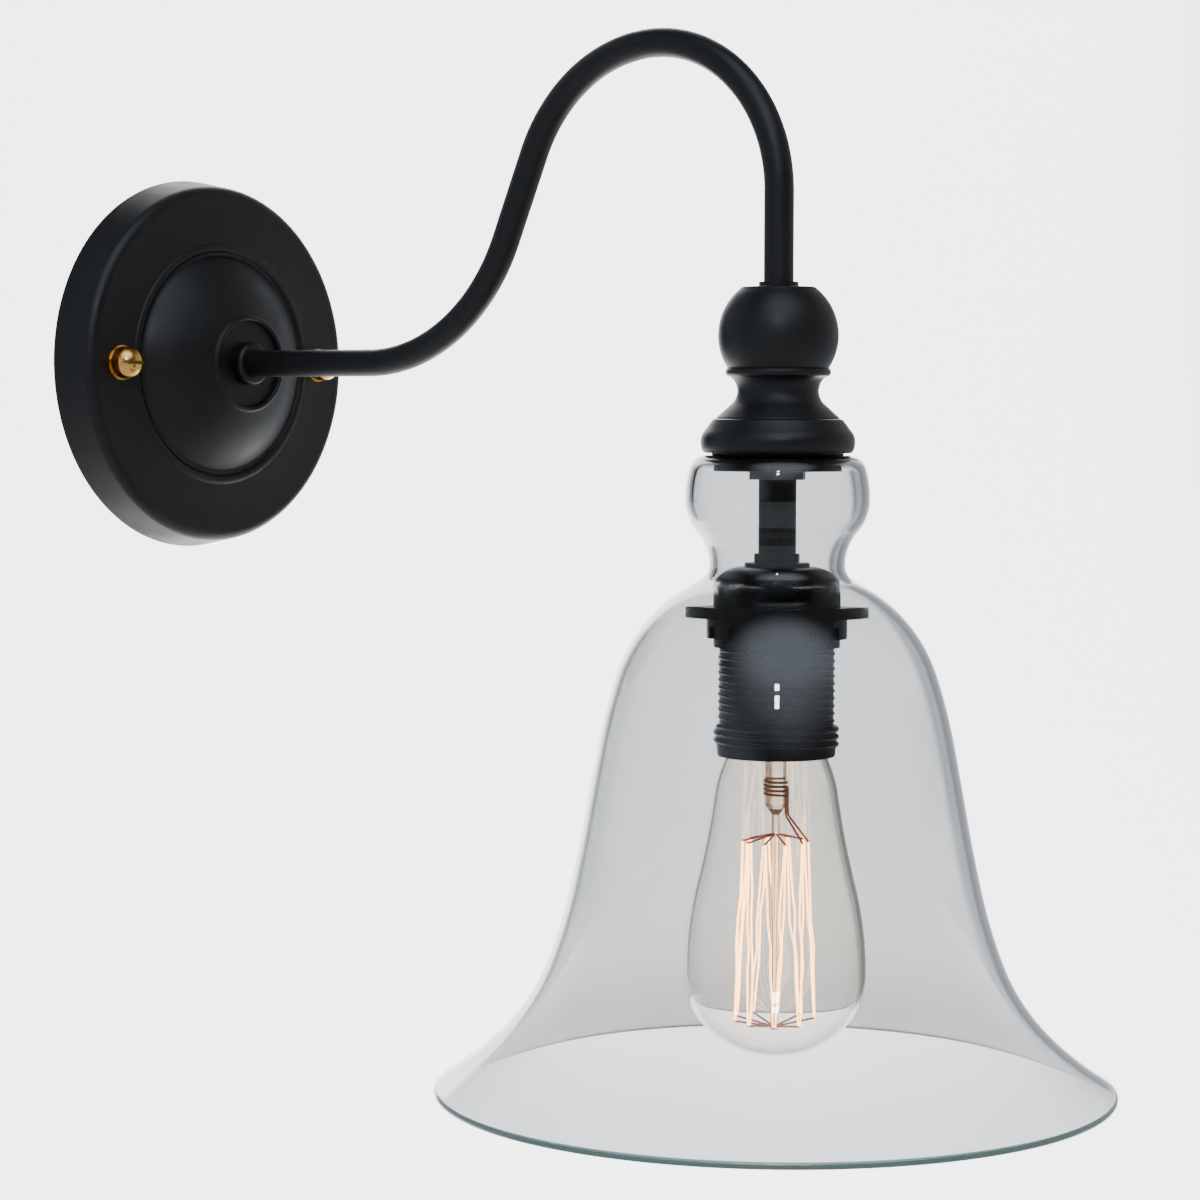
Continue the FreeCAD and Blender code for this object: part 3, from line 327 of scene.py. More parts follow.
def along(tree: bpy.types.NodeTree, place: Socket, way: Vector) -> Socket:
    """How far a place or direction lies along a way.

    Args:
        tree: The shader tree.
        place: The place or direction.
        way: A unit direction.

    Returns:
        The distance's socket.
    """
    node = add_node(tree, "ShaderNodeVectorMath", {"operation": "DOT_PRODUCT"}, i0=place, i1=way)
    return node.outputs["Value"]


class TreeMaker:
    """Builds one geometry node tree with named inputs and a realized, dressed result."""

    def __init__(self, name: str, follows_path: bool = False) -> None:
        """Starts an empty tree with a geometry output and a material input.

        Args:
            name: The tree's name.
            follows_path: Whether the tree takes a curve as its first input.
        """
        self.tree = bpy.data.node_groups.new(name, "GeometryNodeTree")
        self.tree.interface.new_socket("Geometry", in_out="OUTPUT",
                                       socket_type="NodeSocketGeometry")
        self.inputs: dict[str, bpy.types.NodeTreeInterfaceSocket] = {}
        self.source = self.tree.nodes.new("NodeGroupInput")
        if follows_path:
            self.add_input("Path", "NodeSocketGeometry")
        self.add_input("Material", "NodeSocketMaterial")

    def add_input(self, name: str, kind: str = "NodeSocketFloat") -> None:
        """Adds a named input to the tree."""
        self.inputs[name] = self.tree.interface.new_socket(name, in_out="INPUT", socket_type=kind)

    def value(self, name: str) -> Socket:
        """The group input's socket of a name."""
        return self.source.outputs[name]

    def node(self, kind: str, settings: Optional[dict] = None,
             **links: object) -> bpy.types.Node:
        """Adds a node, whose kind may leave out its GeometryNode prefix."""
        whole = kind if kind.startswith("ShaderNode") else "GeometryNode" + kind
        return add_node(self.tree, whole, settings, **links)

    def math(self, operation: str, first: Value, second: Value = 0.0) -> Socket:
        """A math node's result for two sockets or numbers."""
        node = self.node("ShaderNodeMath", {"operation": operation}, i0=first, i1=second)
        return node.outputs[0]

    def follow(self, path: Socket, sides: Value, radius: Socket) -> Socket:
        """A round rod along a curve, with closed ends.

        Args:
            path: The curve.
            sides: Flats round the rod.
            radius: The rod's radius.

        Returns:
            The rod's mesh.
        """
        ring = self.node("CurvePrimitiveCircle", Resolution=sides, Radius=radius)
        rod = self.node("CurveToMesh", Curve=path, Profile_Curve=ring.outputs[0], Fill_Caps=True)
        return rod.outputs[0]

    def finish(self, geometry: Socket) -> TreeMaker:
        """Ends the tree in Realize Instances and Set Material.

        Args:
            geometry: What the tree has built.

        Returns:
            This maker.
        """
        real = self.node("RealizeInstances", i0=geometry)
        dressed = self.node("SetMaterial", Geometry=real.outputs[0],
                            Material=self.value("Material"))
        add_node(self.tree, "NodeGroupOutput", i0=dressed.outputs[0])
        return self

    def grow(self, name: str, material: bpy.types.Material, place: Matrix,
             base: Optional[bpy.types.ID] = None, **sizes: float) -> bpy.types.Object:
        """Runs the tree and keeps the result as a plain mesh at the origin.

        Args:
            name: The piece's name.
            material: What the tree sets on it.
            place: Where the result goes, in metres.
            base: A curve for the tree to follow, or none.
            **sizes: Values for the named inputs, with underscores for spaces.

        Returns:
            The new object.
        """
        seed = new_object(name + "_seed", base or bpy.data.meshes.new(name + "_seed"))
        modifier = seed.modifiers.new("grow", "NODES")
        modifier.node_group = self.tree
        modifier[self.inputs["Material"].identifier] = material
        for key, size in sizes.items():
            modifier[self.inputs[key.replace("_", " ")].identifier] = size
        graph = bpy.context.evaluated_depsgraph_get()
        mesh = bpy.data.meshes.new_from_object(seed.evaluated_get(graph))
        bpy.data.objects.remove(seed)
        mesh.name = name
        mesh.transform(place)
        obj = new_object(name, mesh)
        smooth_mesh(obj)
        return obj


def tube_tree() -> TreeMaker:
    """A tree that turns a curve into a round tube of a given radius.

    Returns:
        The tree.
    """
    maker = TreeMaker("tube_along_path", follows_path=True)
    maker.add_input("Radius")
    maker.add_input("Sides", "NodeSocketInt")
    return maker.finish(
        maker.follow(maker.value("Path"), maker.value("Sides"), maker.value("Radius")))


def thread_tree() -> TreeMaker:
    """A tree that winds one ridge of a screw thread round the z axis.

    Returns:
        The tree.
    """
    turn_parts, sides = 64, 6
    maker = TreeMaker("screw_thread")
    for name in ("Turns", "Radius", "Height", "Ridge"):
        maker.add_input(name)
    coil = maker.node("CurveSpiral", Resolution=turn_parts, Rotations=maker.value("Turns"),
                      Start_Radius=maker.value("Radius"), End_Radius=maker.value("Radius"),
                      Height=maker.value("Height"))
    upright = maker.node("SetCurveNormal", {"mode": "Z_UP"}, Curve=coil.outputs[0])
    return maker.finish(maker.follow(upright.outputs[0], sides, maker.value("Ridge")))


def cage_tree() -> TreeMaker:
    """A tree that strings one wire up and down between two rings of hooks.

    Two points lie at each hook, so the wire goes over it, and each strand bows a little.

    Returns:
        The tree.
    """
    strand_parts, cloud_scale, sides = 7, 55.0, 8
    maker = TreeMaker("cage_filament")
    calc, value = maker.math, maker.value
    maker.add_input("Loops", "NodeSocketInt")
    for name in ("Span", "First", "Top Radius", "Foot Radius", "Top", "Foot", "Wire", "Hook",
                 "Bow"):
        maker.add_input(name)
    hooks = calc("ADD", calc("MULTIPLY", value("Loops"), 2.0), 1.0)
    line = maker.node("MeshLine", Count=calc("MULTIPLY", hooks, 2.0))
    index = maker.node("InputIndex").outputs[0]
    hook = calc("FLOOR", calc("DIVIDE", index, 2.0))
    low = calc("MODULO", hook, 2.0)
    side = calc("SUBTRACT", calc("MODULO", index, 2.0), 0.5)

    def between(top: str, foot: str) -> Socket:
        """The top value at a top hook and the foot value at a foot hook."""
        change = calc("SUBTRACT", value(foot), value(top))
        return calc("ADD", value(top), calc("MULTIPLY", change, low))

    radius = between("Top Radius", "Foot Radius")
    step = calc("DIVIDE", value("Span"), calc("SUBTRACT", hooks, 1.0))
    centre = calc("ADD", value("First"), calc("MULTIPLY", hook, step))
    width = calc("DIVIDE", calc("MULTIPLY", side, value("Hook")), radius)
    angle = calc("ADD", centre, width)
    place = maker.node("ShaderNodeCombineXYZ",
                       X=calc("MULTIPLY", radius, calc("COSINE", angle)),
                       Y=calc("MULTIPLY", radius, calc("SINE", angle)),
                       Z=between("Top", "Foot"))
    hung = maker.node("SetPosition", Geometry=line.outputs[0], Position=place.outputs[0])
    strung = maker.node("MeshToCurve", Mesh=hung.outputs[0])
    finer = maker.node("SubdivideCurve", Curve=strung.outputs[0], Cuts=strand_parts - 1)
    share = calc("MULTIPLY", calc("MODULO", index, float(strand_parts)), math.pi / strand_parts)
    strand = calc("FLOOR", calc("DIVIDE", index, float(strand_parts)))
    arch = calc("MULTIPLY", calc("SINE", share), calc("MODULO", strand, 2.0))
    cloud = maker.node("ShaderNodeTexNoise", Scale=cloud_scale)
    centred = maker.node("ShaderNodeVectorMath", {"operation": "SUBTRACT"},
                         i0=cloud.outputs["Color"], i1=(0.5, 0.5, 0.5))
    offset = maker.node("ShaderNodeVectorMath", {"operation": "SCALE"}, i0=centred.outputs[0],
                        Scale=calc("MULTIPLY", arch, value("Bow")))
    bowed = maker.node("SetPosition", Geometry=finer.outputs[0], Offset=offset.outputs[0])
    return maker.finish(maker.follow(bowed.outputs[0], sides, value("Wire")))


# ---- finishes

def variation_group() -> bpy.types.ShaderNodeTree:
    """A shader group that varies a finish over the surface.

    Returns:
        The group, with Scale, Grain Scale, Low and High inputs and Value and Height outputs.
    """
    name, detail, grain_detail, usual = "surface_variation", 4.0, 2.0, (0.3, 0.7)
    if name in bpy.data.node_groups:
        return bpy.data.node_groups[name]
    group = bpy.data.node_groups.new(name, "ShaderNodeTree")
    for label in ("Scale", "Grain Scale", "Low", "High"):
        group.interface.new_socket(label, in_out="INPUT", socket_type="NodeSocketFloat")
    for label in ("Value", "Height"):
        group.interface.new_socket(label, in_out="OUTPUT", socket_type="NodeSocketFloat")
    source = add_node(group, "NodeGroupInput").outputs
    where = add_node(group, "ShaderNodeTexCoord").outputs["Object"]
    cloud = add_node(group, "ShaderNodeTexNoise", Vector=where, Scale=source["Scale"],
                     Detail=detail)
    grain = add_node(group, "ShaderNodeTexNoise", Vector=where, Scale=source["Grain Scale"],
                     Detail=grain_detail)
    spread = add_node(group, "ShaderNodeMapRange", Value=cloud.outputs["Fac"],
                      From_Min=usual[0], From_Max=usual[1],
                      To_Min=source["Low"], To_Max=source["High"])
    add_node(group, "NodeGroupOutput", Value=spread.outputs["Result"],
             Height=grain.outputs["Fac"])
    return group


@dataclass(frozen=True)
class Finish:
    """A finish made of one principled shader and the shared surface variation.

    The colour goes to the tint in soft clouds, or with height between two levels in metres.
    """

    name: str
    colour: Triple
    tint: Optional[Triple] = None
    levels: Optional[Point] = None
    metallic: float = 0.0
    roughness: Point = (0.4, 0.5)
    specular: float = 0.5
    scale: float = 60.0
    grain_scale: float = 1500.0
    relief: float = 0.05
    relief_depth: float = 0.0002
    transmission: float = 0.0
    ior: float = 1.5
    glow: Optional[Triple] = None
    glow_strength: float = 0.0

    def make(self) -> bpy.types.Material:
        """Builds the material.

        Returns:
            The new material.
        """
        material = bpy.data.materials.new(self.name)
        material.use_nodes = True
        tree = material.node_tree
        shader = tree.nodes["Principled BSDF"]
        for label, value in (("Metallic", self.metallic), ("IOR", self.ior),
                             ("Transmission Weight", self.transmission),
                             ("Specular IOR Level", self.specular)):
            shader.inputs[label].default_value = value
        low, high = self.roughness
        vary = add_node(tree, "ShaderNodeGroup", {"node_tree": variation_group()},
                        Scale=self.scale, Grain_Scale=self.grain_scale, Low=low, High=high)
        tree.links.new(vary.outputs["Value"], shader.inputs["Roughness"])
        self.colour_nodes(tree, shader)
        if self.relief > 0:
            bump = add_node(tree, "ShaderNodeBump", Strength=self.relief,
                            Distance=self.relief_depth, Height=vary.outputs["Height"])
            tree.links.new(bump.outputs["Normal"], shader.inputs["Normal"])
        if self.glow:
            shader.inputs["Emission Color"].default_value = (*self.glow, 1.0)
            shader.inputs["Emission Strength"].default_value = self.glow_strength
        return material

    def colour_nodes(self, tree: bpy.types.NodeTree, shader: bpy.types.Node) -> None:
        """Gives the shader its colour, mixed with the tint where there is one.

        Args:
            tree: The material's tree.
            shader: The principled shader in it.
        """
        if not self.tint:
            shader.inputs["Base Color"].default_value = (*self.colour, 1.0)
            return
        where = add_node(tree, "ShaderNodeTexCoord").outputs["Object"]
        if self.levels:
            height = add_node(tree, "ShaderNodeSeparateXYZ", i0=where).outputs["Z"]
            share = fade(tree, height, *self.levels)
        else:
            share = add_node(tree, "ShaderNodeTexNoise", Vector=where,
                             Scale=self.scale * MOTTLE).outputs["Fac"]
        mix = add_node(tree, "ShaderNodeMix", {"data_type": "RGBA"}, Factor=share,
                       A=(*self.colour, 1.0), B=(*self.tint, 1.0))
        tree.links.new(mix.outputs["Result"], shader.inputs["Base Color"])


FINISHES = {
    "black_steel": Finish(
        "satin_black_powder_coat", (0.0022, 0.0025, 0.0032), tint=(0.0042, 0.0046, 0.0054),
        roughness=(0.38, 0.52), specular=0.34, grain_scale=2200.0, relief=0.20,
        relief_depth=0.00008),
    "zinc_steel": Finish(
        "zinc_plate", (0.26, 0.27, 0.28), tint=(0.36, 0.355, 0.34), metallic=1.0,
        roughness=(0.28, 0.42)),
    "brass": Finish(
        "polished_brass", (0.60, 0.32, 0.075), tint=(0.78, 0.48, 0.15), metallic=1.0,
        roughness=(0.12, 0.24), relief=0.03),
    "black_rubber": Finish(
        "gasket_rubber", (0.006, 0.006, 0.006), roughness=(0.6, 0.75), specular=0.3, relief=0.1),
    # The bell glass's grey is partly its own faint tint and partly painted shade, far darker than
    # clear glass lets through; it is darker still towards the rim.
    "clear_glass": Finish(
        "clear_blown_glass", (0.17, 0.177, 0.181), tint=(0.30, 0.312, 0.318),
        levels=(-0.232, -0.185), roughness=(0.0, 0.012), scale=9.0, relief=0.0,
        transmission=1.0, ior=1.48),
    "inner_glass": Finish(
        "clear_glass_inside", (0.99, 0.995, 0.995), roughness=(0.0, 0.012), scale=9.0,
        relief=0.0, transmission=1.0, ior=1.48),
    "rim_glass": Finish(
        "fire_polished_rim", (0.15, 0.23, 0.21), roughness=(0.08, 0.16), relief=0.0,
        transmission=0.2, ior=1.48),
    # The lamp glass's faint warm glow is painted light, standing in for the filament's light in
    # the glass.
    "lamp_glass": Finish(
        "thin_lamp_glass", (1.0, 0.94, 0.85), roughness=(0.0, 0.01), relief=0.0,
        transmission=1.0, ior=1.45, glow=(1.0, 0.60, 0.32), glow_strength=0.05),
    "dark_glass": Finish(
        "fused_black_glass", (0.005, 0.005, 0.007), roughness=(0.08, 0.16), relief=0.02),
    "black_plastic": Finish(
        "moulded_black_phenolic", (0.0035, 0.0042, 0.0052), tint=(0.0060, 0.0068, 0.0082),
        roughness=(0.26, 0.38), specular=0.32, relief=0.0),
    "white_plastic": Finish(
        "moulded_white_insulator", (0.70, 0.69, 0.64), tint=(0.62, 0.61, 0.55),
        roughness=(0.45, 0.6)),
    "solder": Finish("dull_solder", (0.40, 0.41, 0.42), metallic=1.0, roughness=(0.4, 0.55)),
    "glowing_wire": Finish(
        "glowing_filament", (0.9, 0.45, 0.16), relief=0.0, glow=(1.0, 0.50, 0.17),
        glow_strength=16.0),
    "fine_wire": Finish(
        "copper_wire", (0.40, 0.13, 0.05), tint=(0.28, 0.11, 0.06), metallic=1.0,
        roughness=(0.25, 0.4), relief=0.0),
    "brown_lead": Finish("brown_lead_sleeve", (0.10, 0.035, 0.014), roughness=(0.4, 0.55)),
    "blue_lead": Finish("blue_lead_sleeve", (0.015, 0.05, 0.20), roughness=(0.4, 0.55)),
}


# ---- the light's sub-assemblies

@dataclass
class Workshop:
    """What every sub-assembly needs: finishes, trees and where the axes lie."""

    materials: dict[str, bpy.types.Material] = field(default_factory=dict)
    trees: dict[str, TreeMaker] = field(default_factory=dict)
    reach: float = 0.0

    def prepare(self) -> None:
        """Makes the finishes and trees, and reads the drop axis from the frame."""
        self.materials = {slot: finish.make() for slot, finish in FINISHES.items()}
        self.trees = {"tube": tube_tree(), "thread": thread_tree(), "cage": cage_tree()}
        low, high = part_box("turned_cap")
        self.reach = -(low[1] + high[1]) / 2 / MM

    def dress(self, obj: bpy.types.Object, slot: str, body: Body, *nodes: str) -> None:
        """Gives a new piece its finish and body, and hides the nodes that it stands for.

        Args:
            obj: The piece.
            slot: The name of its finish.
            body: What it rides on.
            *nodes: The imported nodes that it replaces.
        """
        if not obj.data.materials:
            obj.data.materials.append(self.materials[slot])
        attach(obj, body.value)
        if nodes:
            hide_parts(*nodes)
        LOG.info("%s rides on %s", obj.name, body.value)

    def coat_rings(self, obj: bpy.types.Object, slots: Sequence[str], starts: Sequence[int],
                   segments: int) -> None:
        """Gives runs of a turned piece's rings of faces a finish each.

        Args:
            obj: The turned piece.
            slots: The name of each run's finish.
            starts: The first ring of each run, in the order of the profile.
            segments: Faces in a ring.
        """
        for slot in slots:
            obj.data.materials.append(self.materials[slot])
        for face in obj.data.polygons:
            ring = face.index // segments
            face.material_index = sum(start <= ring for start in starts) - 1

    def top(self, node: str) -> float:
        """The highest level of a node, in millimetres."""
        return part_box(node)[1][2] / MM

    def foot(self, node: str) -> float:
        """The lowest level of a node, in millimetres."""
        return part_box(node)[0][2] / MM

    def drop_place(self, level: float) -> Matrix:
        """A place on the drop axis, for trees that build in metres."""
        return Matrix.Translation((0.0, -self.reach * MM, level * MM))


@dataclass(frozen=True)
class Winding:
    """A ridge or wire wound round the drop axis."""

    name: str
    start: float
    turns: float
    pitch: float
    radius: float
    ridge: float

    def wind(self, shop: Workshop, slot: str, body: Body, level: float) -> None:
        """Winds and dresses it.

        Args:
            shop: What it is built with.
            slot: The name of its finish.
            body: What it rides on.
            level: The level that its start is measured from.
        """
        wound = shop.trees["thread"].grow(
            self.name, shop.materials[slot], shop.drop_place(level + self.start),
            Turns=self.turns, Radius=self.radius * MM, Height=self.turns * self.pitch * MM,
            Ridge=self.ridge * MM)
        shop.dress(wound, slot, body)


@dataclass
class WallCanopy:
    """The spun steel dish against the wall, with its beaded dome and boss ring."""

    back_radius: float = 67.0
    face_radius: float = 64.7
    depth: float = 16.0
    sheet: float = 1.2
    edge: float = 4.0
    bead_out: float = 44.2
    bead_in: float = 40.3
    bead_slope: float = 0.6
    bead_rise: float = 0.35
    groove: float = 0.1
    dome_radius: float = 39.5
    dome_rise: float = 16.6
    ring_radius: float = 16.5
    ring_half: float = 0.9
    land_drop: float = 0.8
    hole: float = 4.8
    arc_steps: int = 12
    segments: int = 192

    def build(self, shop: Workshop) -> None:
        """Turns the dish and puts it in place of its plainer solid.

        Args:
            shop: What it is built with.
        """
        depth, sheet, edge, rise = self.depth, self.sheet, self.edge, self.bead_rise
        sphere = (self.dome_radius ** 2 + self.dome_rise ** 2) / (2 * self.dome_rise)
        centre = depth + self.dome_rise - sphere
        ring_out = self.ring_radius + self.ring_half
        ring_in = self.ring_radius - self.ring_half
        ring_foot = centre + math.sqrt(sphere ** 2 - ring_out ** 2)
        land = ring_foot - self.land_drop
        inner = sphere - sheet
        inner_start = math.sqrt(inner ** 2 - (depth - sheet - centre) ** 2)
        inner_top = math.sqrt(inner ** 2 - (land - sheet - centre) ** 2)
        corners = [
            (self.back_radius, 0.0), (self.face_radius, depth - edge, edge),
            (self.face_radius - edge, depth), (self.bead_out, depth, -1.2),
            (self.bead_out - self.bead_slope, depth + rise, 2.0),
            (self.bead_in + self.bead_slope, depth + rise, -1.0),
            (self.bead_in, depth - self.groove),
            (self.dome_radius + 0.2, depth - self.groove, -0.8),
            (self.dome_radius - 0.4, depth + rise, sphere),
            (ring_out + 0.3, ring_foot + 0.05, -0.6), (ring_out, ring_foot + rise, 0.9),
            (ring_in, ring_foot + rise), (ring_in - 0.4, land),
            (self.hole, land), (self.hole, land - sheet), (inner_top, land - sheet, -inner),
            (inner_start, depth - sheet),
            (self.face_radius - edge, depth - sheet, -(edge - sheet)),
            (self.face_radius - sheet, depth - edge), (self.back_radius - sheet, 0.0)]
        dish = lathe("canopy_dish", outline(corners, self.arc_steps), Axis.WALL, 0.0, shop.reach,
                     self.segments)
        shop.dress(dish, "black_steel", Body.FIXTURE, "wall_canopy")


@dataclass
class GooseneckArm:
    """The bent tube from the canopy up, over and down to the cap."""

    radius: float = 4.75
    inner_end: float = 21.0
    bend_start: float = 89.5
    bend_radius: float = 68.5
    rise_angle: float = 66.5
    rise_length: float = 31.0
    arch_rise_radius: float = 56.0
    arch_fall_radius: float = 50.0
    end_level: float = 8.7
    arc_steps: int = 40
    sides: int = 48

    def build(self, shop: Workshop) -> None:
        """Runs the tube along its centre line.

        Args:
            shop: What it is built with.
        """
        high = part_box("gooseneck_arm")[1]
        points = self.path_points(high[2] / MM - self.radius)
        curve = bpy.data.curves.new("arm_centreline", "CURVE")
        curve.dimensions = "3D"
        spline = curve.splines.new("POLY")
        spline.points.add(len(points) - 1)
        for spot, (out, up) in zip(spline.points, points):
            spot.co = (0.0, -out * MM, up * MM, 1.0)
        tube = shop.trees["tube"].grow(
            "arm_tube", shop.materials["black_steel"], Matrix.Identity(4), curve,
            Radius=self.radius * MM, Sides=self.sides)
        shop.dress(tube, "black_steel", Body.FIXTURE, "gooseneck_arm")

    def path_points(self, peak: float) -> list[Point]:
        """The centre line from the canopy to the cap.

        Args:
            peak: The level of the arch's highest point.

        Returns:
            Points of distance from the wall and level.
        """
        rise = math.radians(self.rise_angle)
        bend_out = self.bend_start + self.bend_radius * math.sin(rise)
        bend_up = self.bend_radius * (1 - math.cos(rise))
        rise_out = bend_out + self.rise_length * math.cos(rise)
        rise_up = bend_up + self.rise_length * math.sin(rise)
        top_out = rise_out + self.arch_rise_radius * math.sin(rise)
        fall_out = top_out + self.arch_fall_radius
        corners = [(self.inner_end, 0.0), (self.bend_start, 0.0, self.bend_radius),
                   (bend_out, bend_up), (rise_out, rise_up, -self.arch_rise_radius),
                   (top_out, peak, -self.arch_fall_radius),
                   (fall_out, peak - self.arch_fall_radius), (fall_out, self.end_level)]
        return outline(corners, self.arc_steps, closed=False)


@dataclass
class TurnedCap:
    """The turned cap: a ball, a bead, a waist and a stepped skirt over the glass."""

    height: float = 52.6
    ball: float = 19.2
    flat: float = 11.5
    neck: float = 16.2
    bead_height: float = 2.6
    waist: float = 15.3
    waist_length: float = 9.2
    skirt: tuple[Corner, ...] = (
        (23.2, 0.0, 0.9), (23.9, 0.5, 5.2), (24.6, 3.2, 5.2), (23.2, 7.2), (20.9, 10.3, 0.5),
        (20.6, 10.6), (19.9, 10.8, -0.6), (19.5, 11.3))
    bore: float = 5.2
    top_bore: float = 4.9
    top_bore_foot: float = 38.0
    arc_steps: int = 14
    segments: int = 160

    def build(self, shop: Workshop) -> None:
        """Turns the cap with its edges eased.

        Args:
            shop: What it is built with.
        """
        equator = self.height - math.sqrt(self.ball ** 2 - self.flat ** 2)
        bead_top = equator - math.sqrt(self.ball ** 2 - self.neck ** 2)
        bead_foot = bead_top - self.bead_height
        corners = [
            (self.bore, 0.0), *self.skirt, (self.waist, bead_foot - self.waist_length, -5.6),
            (self.waist, bead_foot - 0.1), (16.0, bead_foot, 1.5), (16.1, bead_top, self.ball),
            (self.ball, equator, self.ball), (self.flat + 0.6, self.height - 0.4, 0.9),
            (self.flat - 0.4, self.height), (self.top_bore, self.height),
            (self.top_bore, self.top_bore_foot), (self.bore, self.top_bore_foot)]
        cap = lathe("cap_turning", outline(corners, self.arc_steps), Axis.DROP,
                    shop.foot("turned_cap"), shop.reach, self.segments)
        shop.dress(cap, "black_steel", Body.FIXTURE, "turned_cap")


@dataclass
class GlassBell:
    """The blown bell: a globe, a tight neck, a full shoulder and a flared rim."""

    wall: float = 2.6
    hole: float = 6.0
    arc_steps: int = 12
    lip_steps: int = 8
    segments: int = 256
    nodes: tuple[Triple, ...] = (
        (22.3, 0.0, 0.0), (29.5, -14.0, -90.0), (21.7, -35.2, -90.0), (30.7, -43.4, -33.0),
        (51.0, -69.6, -71.5), (61.3, -115.8, -79.8), (73.1, -162.4, -69.0),
        (110.0, -203.2, -31.0))

    def build(self, shop: Workshop) -> None:
        """Blows the bell with an even wall and a rounded rim, and coats each side and the rim.

        Args:
            shop: What it is built with.
        """
        run = blown_curve(self.nodes, self.arc_steps)
        outer = [p for p, _ in run]
        inner = [p + Vector((way.y, -way.x)) * self.wall for p, way in run]
        rim, rim_way = run[-1]
        across = Vector((rim_way.y, -rim_way.x)) * self.wall
        pull = rim_way * (self.wall / 2)
        turns = [math.pi * i / self.lip_steps for i in range(1, self.lip_steps)]
        lip = [rim + across * (1 - math.cos(t)) / 2 + pull * (math.sin(t) - 1) for t in turns]
        outside = outer[:-1] + [rim - pull]
        inside = [inner[-1] - pull] + inner[-2::-1]
        inside += [Vector((self.hole, -self.wall)), Vector((self.hole, 0.0))]
        profile = [(p.x, p.y) for p in outside + lip + inside]
        bell = lathe("bell_glass", profile, Axis.DROP, shop.top("glass_bell"), shop.reach,
                     self.segments)
        shop.coat_rings(bell, ("clear_glass", "rim_glass", "inner_glass"),
                        (0, len(outside) - 1, len(outside) + len(lip)), self.segments)
        shop.dress(bell, "clear_glass", Body.FIXTURE, "glass_bell")


@dataclass
class LampSocket:
    """The black socket under the rod, with its outer thread and ribs."""

    cap: tuple[Corner, ...] = (
        (18.5, 0.0), (20.3, 0.0), (20.3, 3.8, 11.5), (18.9, 8.6, 9.0), (10.5, 12.7, -1.0),
        (10.4, 13.0), (10.4, 13.8, 0.4), (10.0, 14.2), (5.1, 14.2), (5.1, 12.4), (9.0, 12.4),
        (9.0, 10.9, -11.5), (18.5, 2.0))
    skirt: tuple[Corner, ...] = (
        (16.8, 0.0), (18.4, 0.0, 0.5), (18.9, 0.5), (19.2, 4.2), (19.2, 9.8), (18.3, 9.9),
        (18.3, 35.0), (20.2, 35.0), (20.2, 47.9), (15.3, 47.9), (15.3, 46.8), (16.8, 46.8))
    windings: tuple[Winding, ...] = (
        Winding("skirt_thread", 3.6, 2.6, 2.4, 19.35, 0.85),
        Winding("barrel_ribs", 11.0, 9.6, 2.4, 18.25, 0.55))
    cap_steps: int = 10
    skirt_steps: int = 8

    def build(self, shop: Workshop) -> None:
        """Turns the cap and skirt, and winds the outer thread and ribs.

        Args:
            shop: What it is built with.
        """
        for name, node, corners, steps in (
                ("socket_dome", "socket_cap", self.cap, self.cap_steps),
                ("socket_barrel", "socket_skirt", self.skirt, self.skirt_steps)):
            piece = lathe(name, outline(corners, steps), Axis.DROP, shop.foot(node), shop.reach)
            shop.dress(piece, "black_plastic", Body.FIXTURE, node)
        for winding in self.windings:
            winding.wind(shop, "black_plastic", Body.FIXTURE, shop.foot("socket_skirt"))


